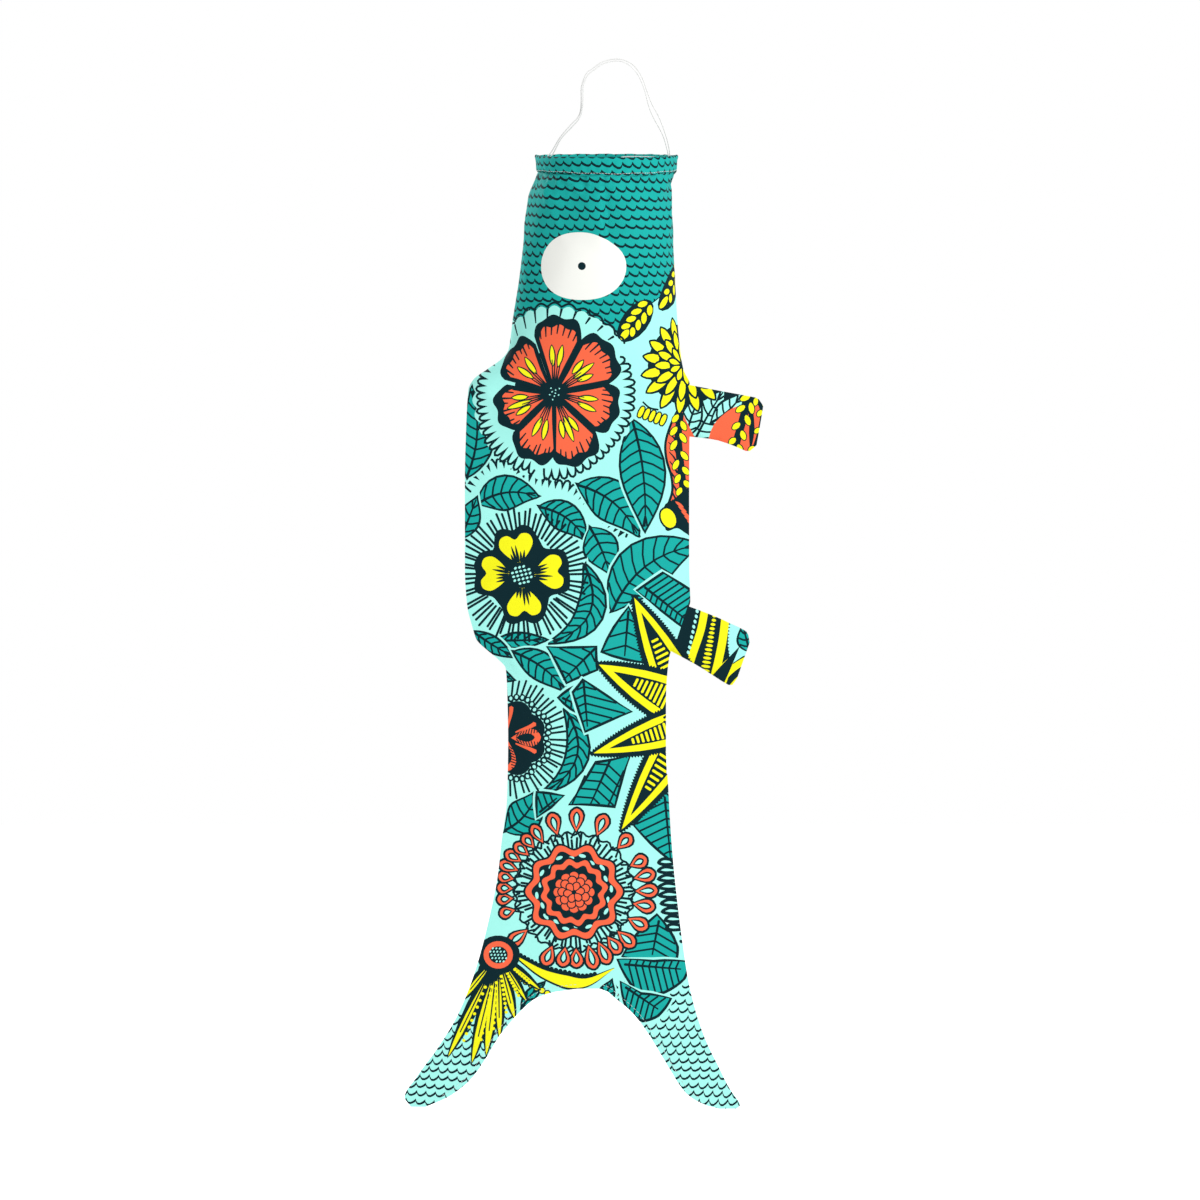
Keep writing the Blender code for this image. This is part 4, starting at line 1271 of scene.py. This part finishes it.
def shell_object(name, points, normals, triangles, colours, turned, keep_side=0):
    """A thin cloth of two faces and a rim. points are its printed face, in metres."""
    used, local = np.unique(triangles, return_inverse=True)
    local = local.reshape(-1, 3)
    if turned:
        local = local[:, ::-1]
    outer, normal = points[used], normals[used]
    inner = outer - normal * CLOTH * MM
    if keep_side:
        inner[:, 1] = keep_side * np.maximum(keep_side * inner[:, 1], 0.02 * MM)
    count = len(used)
    directed = np.concatenate([local[:, [0, 1]], local[:, [1, 2]], local[:, [2, 0]]])
    keys, back = directed @ [count, 1], directed @ [1, count]
    rim = np.flatnonzero(~np.isin(keys, back))
    a, b = directed[rim].T
    quads = np.stack([b, a, a + count, b + count], axis=1)
    mesh = bpy.data.meshes.new(name)
    faces = local.tolist() + (local[:, ::-1] + count).tolist() + quads.tolist()
    mesh.from_pydata(np.vstack([outer, inner]).tolist(), [], faces)
    for material in CLOTH_MATERIALS:
        mesh.materials.append(material)
    slots = np.concatenate([colours, colours + len(INKS), colours[rim % len(local)]])
    mesh.polygons.foreach_set("material_index", slots.astype(np.int32))
    mesh.polygons.foreach_set("use_smooth", np.ones(len(faces), bool))
    mesh.normals_split_custom_set_from_vertices(np.vstack([normal, -normal]).tolist())
    mesh.update()
    return link_object(name, mesh)


def flat_size(points, triangles):
    """(width, length) and area of the flat cut, in metres."""
    corners = (points * [ACROSS_SCALE, DOWN_SCALE])[triangles]
    size = corners.max(axis=(0, 1)) - corners.min(axis=(0, 1))
    (x1, y1), (x2, y2) = ((corners[:, k] - corners[:, 0]).T for k in (1, 2))
    return tuple(float(x) for x in size), float(np.abs(x1 * y2 - y1 * x2).sum() / 2)


def box_region(left, top, right, bottom):
    return np.array([(left, top), (right, top), (right, bottom), (left, bottom)])


draw_print()
OUTLINE = cloth_outline()
FAR, BELOW = 400, 1100
REGIONS = {
    "head": box_region(-FAR, -50, FAR, HEAD_END),
    "body": box_region(-FAR, HEAD_END, FAR, BODY_END),
    "tail_back": box_region(-FAR, BODY_END, TAIL_SPLIT, BELOW),
    "tail_belly": box_region(TAIL_SPLIT, BODY_END, FAR, BELOW),
    "upper_fin": fin_region(UPPER_FIN),
    "lower_fin": fin_region(LOWER_FIN),
}
FLAT_POINTS, TRIANGLES, MIDDLES = cut_mesh(
    OUTLINE, [line for _, line in PRINT] + list(REGIONS.values()), bending_points(OUTLINE)
)
COLOUR_OF = paint(MIDDLES, PRINT, INKS.index("mint"))
REGION_OF = paint(MIDDLES, list(enumerate(REGIONS.values())), -1)


def blend_over(piece):
    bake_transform(piece)


# region: (pieces' name, joint, its two bodies, CAD nodes, record's slot, hangs from)
CLOTH_PIECES = {
    "head": ("head_cloth", "neck_flex", ("head", "body"), ("head",), "head_cloth",
             "mouth_hem_cloth"),
    "body": ("body_cloth", "waist_flex", ("body", "tail"), ("body",), "print_cloth", "head_cloth"),
    "tail_back": ("back_tail_cloth", "back_lobe_flap", ("tail", "back_lobe"),
                  ("tail", "back_tail_lobe"), "mint_cloth", "body_cloth"),
    "tail_belly": ("belly_tail_cloth", "belly_lobe_flap", ("tail", "belly_lobe"),
                   ("tail", "belly_tail_lobe"), "mint_cloth", "body_cloth"),
    "upper_fin": ("upper_fin_cloth", "upper_fin_flap", ("body", "upper_fin"), ("upper_fin",),
                  "print_cloth", "head_cloth"),
    "lower_fin": ("lower_fin_cloth", "lower_fin_flap", ("body", "lower_fin"), ("lower_fin",),
                  "print_cloth", "body_cloth"),
}


def cloth_surface(across, down, side, phase, lift=0.0):
    """Places and normals of the cloth in the frame, lifted off it by some millimetres."""
    def place(a, d):
        return folded_cloth(a, d, phase)

    normal = difference_normals(place, across, down)
    return in_space(place(across, down) + normal * lift, side), turn_normals(normal, side)


def make_cloth():
    """Every piece of cloth, with its flat size, its area and what it hangs from."""
    made = {}
    for label, side, phase in SIDES:
        points, normals = cloth_surface(FLAT_POINTS[:, 0], FLAT_POINTS[:, 1], side, phase)
        for number, region in enumerate(REGIONS):
            title, joint, bodies, nodes, slot, above = CLOTH_PIECES[region]
            mine = REGION_OF == number
            name = f"{title}_{label}"
            piece = shell_object(name, points, normals, TRIANGLES[mine], COLOUR_OF[mine],
                                 turned=side < 0, keep_side=side)
            blend_over(piece)
            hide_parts(*[f"{node}_{label}" for node in nodes])
            made[name] = (piece, *flat_size(FLAT_POINTS, TRIANGLES[mine]), f"{above}_{label}")
    return made


CLOTH_MADE = make_cloth()


# ------------------------------------------------------------------------- mouth hem
HEM_PROFILE = [   # (down, radius), from the outer lower edge over the rim to the inner lower edge
    (17.6, -2.7), (16.8, -1.8), (15.6, -0.7), (13.8, -0.15), (8, 0), (2.4, -0.1), (0.9, -0.6),
    (0.15, -1.4), (0, -2.1), (0.2, -2.9), (0.9, -3.5), (2.4, -3.9), (8, -4.0), (14.2, -4.0),
    (16.4, -3.9),
]
HEM_PROFILE_LINE = through(HEM_PROFILE, 6)
HEM_REACH = reach_along(HEM_PROFILE_LINE)
HEM_HALF_ROUND = math.pi * MOUTH_RADIUS / 2
OUTER_WALL_END = 18.0    # length of profile that is the hem's outer wall


def hem_wave(across, phase):
    """How far the hem's lower edge dips below its straight line."""
    return 1.1 + 1.1 * np.sin(across / 31 + 1.2 + phase) + 0.35 * np.sin(across / 6.3 + phase)


def hem_place(across, along, phase):
    """A point of the hem: across is round the mouth, along is down its profile."""
    reach = np.clip(along, 0, HEM_REACH[-1])
    down = np.interp(reach, HEM_REACH, HEM_PROFILE_LINE[:, 0])
    inset = np.interp(reach, HEM_REACH, HEM_PROFILE_LINE[:, 1])
    outer = soft_step((OUTER_WALL_END - along) / 6)
    seam = np.clip((np.abs(across) - HEM_HALF_ROUND + 16) / 16, 0, 1)
    down = down + hem_wave(across, phase) * outer * down / 17
    rim = soft_step(1 - down / 9)
    pucker = 0.28 * np.sin(across / 1.75 + 2 * np.sin(across / 17 + phase))
    ripple = 0.22 * np.sin(across / 4.3 + phase) + 0.12 * np.sin(across / 1.9)
    radius = (MOUTH_RADIUS + inset + pucker * soft_step(down / 8) * outer
              + (0.25 * np.sin(across / 9 + phase) + 1.7 * seam ** 2) * rim)
    angle = across / MOUTH_RADIUS
    return np.stack([radius * np.sin(angle), np.maximum(radius * np.cos(angle), 0.1),
                     down - (ripple + 0.9 * seam ** 3) * rim], axis=1)


def hem_outwards(across, along):
    """Roughly which way the hem's printed face looks: out, then up over the rim, then in."""
    share = np.clip((along - OUTER_WALL_END + 3) / 8, 0, 1) * math.pi
    angle = across / MOUTH_RADIUS
    return np.stack([np.sin(angle) * np.cos(share), np.cos(angle) * np.cos(share),
                     -np.sin(share)], axis=1)


def hem_surface(across, along, side, phase, lift=0.0):
    """Places and normals of the hem in the frame, lifted off it by some millimetres."""
    def place(a, v):
        return hem_place(a, v, phase)

    normal = difference_normals(place, across, along, 0.1)
    inwards = (normal * hem_outwards(across, along)).sum(axis=1) < 0
    normal *= np.where(inwards, -1, 1)[:, None]
    places = in_space(place(across, along) + normal * lift, side, MM, MM)
    return places, turn_normals(normal, side)


def hem_print():
    """The hem's rows of scales, as layers of their own."""
    first = len(PRINT)
    for k, along in enumerate((2.3, 10.4, 18.5, 26.6)):
        offset = 2.7 * k + 2 * wobble(k + 50)
        scallops((-136 + offset, along + 3.2), (136 + offset, along + 2.2), SCALE_PITCH, -3.9, 2.4,
                 lean=2.0, sway=0.4, seed=90 + k)
    layers = PRINT[first:]
    del PRINT[first:]
    return layers


def make_hem():
    """The folded casing round the hoop, printed with the head's scales."""
    half, length = HEM_HALF_ROUND - 0.2, HEM_REACH[-1]
    round_mouth, down_profile = np.linspace(-half, half, 116), np.linspace(0, length, 20)
    outline = np.array(
        [(a, 0.0) for a in round_mouth[:-1]] + [(half, v) for v in down_profile[:-1]]
        + [(a, length) for a in round_mouth[:0:-1]] + [(-half, v) for v in down_profile[:0:-1]])
    layers = hem_print()
    across, along = np.meshgrid(np.arange(-half + 1, half, 2.2), np.arange(1, length, 1.3))
    grid = np.stack([across.ravel(), along.ravel()], axis=1)
    points, triangles, middles = cut_mesh(outline, [line for _, line in layers], grid)
    colours = paint(middles, layers, INKS.index("teal"))
    made = {}
    for label, side, phase in SIDES:
        spots, normals = hem_surface(points[:, 0], points[:, 1], side, phase)
        hem = shell_object(f"mouth_hem_cloth_{label}", spots, normals, triangles, colours,
                           turned=side > 0)
        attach(hem, "head")
        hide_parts(f"mouth_hem_{label}")
        made[label] = hem
    return made


HEMS = make_hem()


# ----------------------------------------------------------------- stitching and knots

def mesh_object(name, verts, faces, material, smooth=True):
    mesh = bpy.data.meshes.new(name)
    mesh.from_pydata(verts, [], faces)
    mesh.materials.append(material)
    if smooth:
        mesh.shade_smooth()
    return link_object(name, mesh)


def ring(middle, side, up, radius, count):
    turns = [2 * math.pi * k / count for k in range(count)]
    return [tuple(middle + (side * math.cos(a) + up * math.sin(a)) * radius) for a in turns]


def tube_faces(rings, count, base=0):
    """The faces of a thread made of rings, with closed ends."""
    faces = []
    for first in range(base, base + (rings - 1) * count, count):
        for k in range(count):
            a, b = first + k, first + (k + 1) % count
            faces.append((a, b, b + count, a + count))
    faces.append(tuple(base + k for k in reversed(range(count))))
    faces.append(tuple(base + (rings - 1) * count + k for k in range(count)))
    return faces


STITCH_RINGS = ((0.0, 0.35), (0.12, 0.85), (0.5, 1.0), (0.88, 0.85), (1.0, 0.35))
STITCH_SIDES, THREAD_SIDES = 6, 8
HEM_STITCH_HEIGHT = 3.4  # above the hem's lower edge


def stitching(name, starts, long, thick, surface):
    """A row of short stitches, each a rounded length of thread lying on a surface."""
    verts, faces = [], []
    for at in starts:
        (start, end), (up, _) = surface(np.array([at, at + long]))
        side = np.cross(unit(end - start), up)
        faces += tube_faces(len(STITCH_RINGS), STITCH_SIDES, len(verts))
        for share, size in STITCH_RINGS:
            middle = start + (end - start) * share + up * thick * 0.28 * math.sin(math.pi * share)
            verts += ring(middle, side, up, thick / 2 * size, STITCH_SIDES)
    piece = mesh_object(name, verts, faces, STITCH_THREAD)
    return piece


def make_hem_stitches():
    pitch, long = 3.1, 2.3
    starts = -HEM_HALF_ROUND + 2 + pitch * np.arange(int(2 * HEM_HALF_ROUND / pitch) - 1)
    made = {}
    for label, side, phase in SIDES:
        def surface(across):
            return hem_surface(across, np.full(2, HEM_STITCH_HEIGHT), side, phase, lift=0.12)

        made[label] = stitching(f"hem_stitching_{label}", starts, long, 0.42 * MM, surface)
        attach(made[label], "head")
    return made


def make_fork_stitches():
    """The dashed row of stitches along each lobe's open hem."""
    inset, pitch, long = 4.6, 4.6, 3.0
    made = {}
    for table, way, lobe in ((FORK_BACK_SIDE, -1, "back"), (FORK_BELLY_SIDE, 1, "belly")):
        downs = np.linspace(table[0][0], table[-1][0] - 6, 120)
        line = np.array([flat(smooth_value(table, d), d) for d in downs])
        step = unit_rows(np.gradient(line, axis=0))
        inwards = np.stack([step[:, 1], -step[:, 0]], axis=1) * -way
        inwards *= np.where((inwards[:, 0] * way < 0) & (inwards[:, 1] > 0), -1, 1)[:, None]
        line = line + inwards * inset
        reach = reach_along(line)
        for label, side, phase in SIDES:
            def surface(at):
                across, down = np.interp(at, reach, line[:, 0]), np.interp(at, reach, line[:, 1])
                return cloth_surface(across, down, side, phase, lift=0.1)

            piece = stitching(f"{lobe}_fork_stitching_{label}", np.arange(1, reach[-1] - pitch, pitch),
                              long, 0.4 * MM, surface)
            blend_over(piece)
            made[f"{lobe}_tail_cloth_{label}"] = [piece]
    return made


HEM_STITCHES = make_hem_stitches()
FORK_STITCHES = make_fork_stitches()


def tube(line, radius, base=0):
    """Vertices and faces of a round thread along a line."""
    line = np.asarray(line, float)
    up = np.array([0.3, 0.9, 0.31])
    verts = []
    for place, ahead in zip(line, unit_rows(np.gradient(line, axis=0))):
        up = unit(up - ahead * up.dot(ahead))
        verts += ring(place, np.cross(ahead, up), up, radius, THREAD_SIDES)
    return verts, tube_faces(len(line), THREAD_SIDES, base)


def make_knot(name, node, sign, tail, tail_radius):
    """An overhand knot of the doubled thread, with its tail on the inside of the hem."""
    centre = np.array([sign * KNOT_PLACE.x, 0, KNOT_PLACE.z])
    wraps = []
    for k in range(97):
        t = 2 * math.pi * k / 96
        r = KNOT_RADIUS * (0.62 + 0.28 * math.cos(3 * t))
        wraps.append(centre + [KNOT_RADIUS * 0.42 * math.sin(3 * t), r * math.sin(2 * t),
                               r * math.cos(2 * t) * 1.1])
    verts, faces = tube(wraps, STRAND_DIAMETER * 0.42)
    more, more_faces = tube(through(tail, 8), tail_radius, len(verts))
    knot = mesh_object(name, verts + more, faces + more_faces, THREAD)
    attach(knot, "head")
    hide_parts(node)


def wall_points(*places):
    """Places just inside the hem's inner wall, from degrees round the mouth and millimetres down."""
    radius = (MOUTH_RADIUS - 4.9) * MM
    return [(radius * math.cos(math.radians(a)), radius * math.sin(math.radians(a)),
             MOUTH_Z - down * MM) for a, down in places]


KNOT_BACK = 0.0005       # how far behind its middle a knot's tail starts
make_knot("thread_knot_left", "bridle_knot_left", -1,
          [(-KNOT_PLACE.x, KNOT_BACK, KNOT_PLACE.z - 0.0012)]
          + wall_points((176, 13.5), (171, 16), (167, 19)), STRAND_DIAMETER * 0.42)
make_knot("thread_knot_right", "bridle_knot_right", 1, [(KNOT_PLACE.x, KNOT_BACK, KNOT_PLACE.z)]
          + wall_points((8, 7), (20, 4.6), (36, 3.2), (54, 2.9), (70, 3.0), (77, 3.6)),
          STRAND_DIAMETER * 0.62)


# ----------------------------------------------------------------------- woven label
LABEL_GAP, LABEL_WALL = 0.00028, 0.00022
LABEL_TUCK = 0.0012      # length of label inside the seam
LABEL_STEPS, LABEL_ROWS = 18, 16     # of its mesh, from the fold to an end and up its height


def label_place(s, v, wall):
    """A point of the label: s runs from one end (-1) over the fold (0) to the other, v is up."""
    width, height = LABEL_HIGH.x - LABEL_LOW.x, LABEL_HIGH.z - LABEL_LOW.z
    out = (width + LABEL_TUCK) * (1 - abs(s))
    curl = 0.0016 * (1 - abs(s)) ** 2 * (0.4 + v)
    return (LABEL_LOW.x - LABEL_TUCK + out + 0.0002 * math.sin(9 * v),
            (LABEL_GAP + wall) * max(-1.0, min(1.0, s / 0.06)) + curl,
            (LABEL_LOW.z + LABEL_HIGH.z) / 2 + height * (v - 0.5))


def make_label():
    """A folded satin tape caught in the belly seam: two layers with a round fold, slightly curled."""
    shares = [k / LABEL_STEPS - 1 for k in range(2 * LABEL_STEPS + 1)]
    verts = [label_place(s, r / LABEL_ROWS, wall) for wall in (LABEL_WALL, 0.0) for s in shares
             for r in range(LABEL_ROWS + 1)]
    per = LABEL_ROWS + 1
    layer = len(shares) * per
    faces = []

    def rim(a, b, flip):
        quad = (a, b, layer + b, layer + a)
        faces.append(quad[::-1] if flip else quad)

    for start in range(0, layer - per, per):
        for a in range(start, start + LABEL_ROWS):
            faces.append((a, a + 1, a + per + 1, a + per))
            faces.append((layer + a, layer + a + per, layer + a + per + 1, layer + a + 1))
        rim(start, start + per, False)
        rim(start + LABEL_ROWS, start + per + LABEL_ROWS, True)
    for start, flip in ((0, True), (layer - per, False)):
        for a in range(start, start + LABEL_ROWS):
            rim(a, a + 1, flip)
    satin = Finish("label_satin", linear((236, 238, 238)), 0.45, Sheen_Weight=0.15)
    weave(satin, thread=0.0004, depth=0.00005, rough=0.5)
    label = mesh_object("blank_label", verts, faces, satin.material)
    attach(label, "tail")
    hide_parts("side_label")


make_label()


# --------------------------------------------------------------- CAD pieces that stay
for node, colour in (("mouth_hoop", (238, 238, 234)), ("hoop_joiner", (214, 218, 218))):
    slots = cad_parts[node].data.materials
    slots.clear()
    slots.append(plastic_material(f"{node}_plastic", colour))


# ------------------------------------------------------------------------ the studio
FLOOR_HALF, FLOOR_DROP = 6.0, 0.15
LAMPS = (("key_light", (2.4, -2.6, 1.5), 150), ("back_light", (-2.4, 2.6, 1.5), 110))
LAMP_SIZE = 1.2
LIT_PLACE = Vector((0, 0, -0.5))


def studio():
    """A white studio: even light from all round, and a soft lamp before and behind."""
    scene = bpy.context.scene
    scene.view_settings.view_transform = "Standard"
    world = bpy.data.worlds.new("white_studio")
    world.use_nodes = True
    background = world.node_tree.nodes["Background"]
    background.inputs["Color"].default_value = (1, 1, 1, 1)
    background.inputs["Strength"].default_value = 1.0
    scene.world = world
    paint_of_floor = Finish("pale_floor", (0.93, 0.93, 0.93), 0.9, Emission_Color=(1, 1, 1, 1),
                            Emission_Strength=0.12)
    half, z = FLOOR_HALF, CAD_BOX[0].z - FLOOR_DROP
    corners = [(-half, -half, z), (half, -half, z), (half, half, z), (-half, half, z)]
    mesh_object("floor", corners, [(0, 1, 2, 3)], paint_of_floor.material, smooth=False)
    for name, place, energy in LAMPS:
        lamp = bpy.data.lights.new(name, "AREA")
        lamp.shape, lamp.size, lamp.energy = "DISK", LAMP_SIZE, energy
        obj = link_object(name, lamp)
        obj.location = place
        obj.rotation_euler = (LIT_PLACE - Vector(place)).to_track_quat("-Z", "Y").to_euler()


studio()
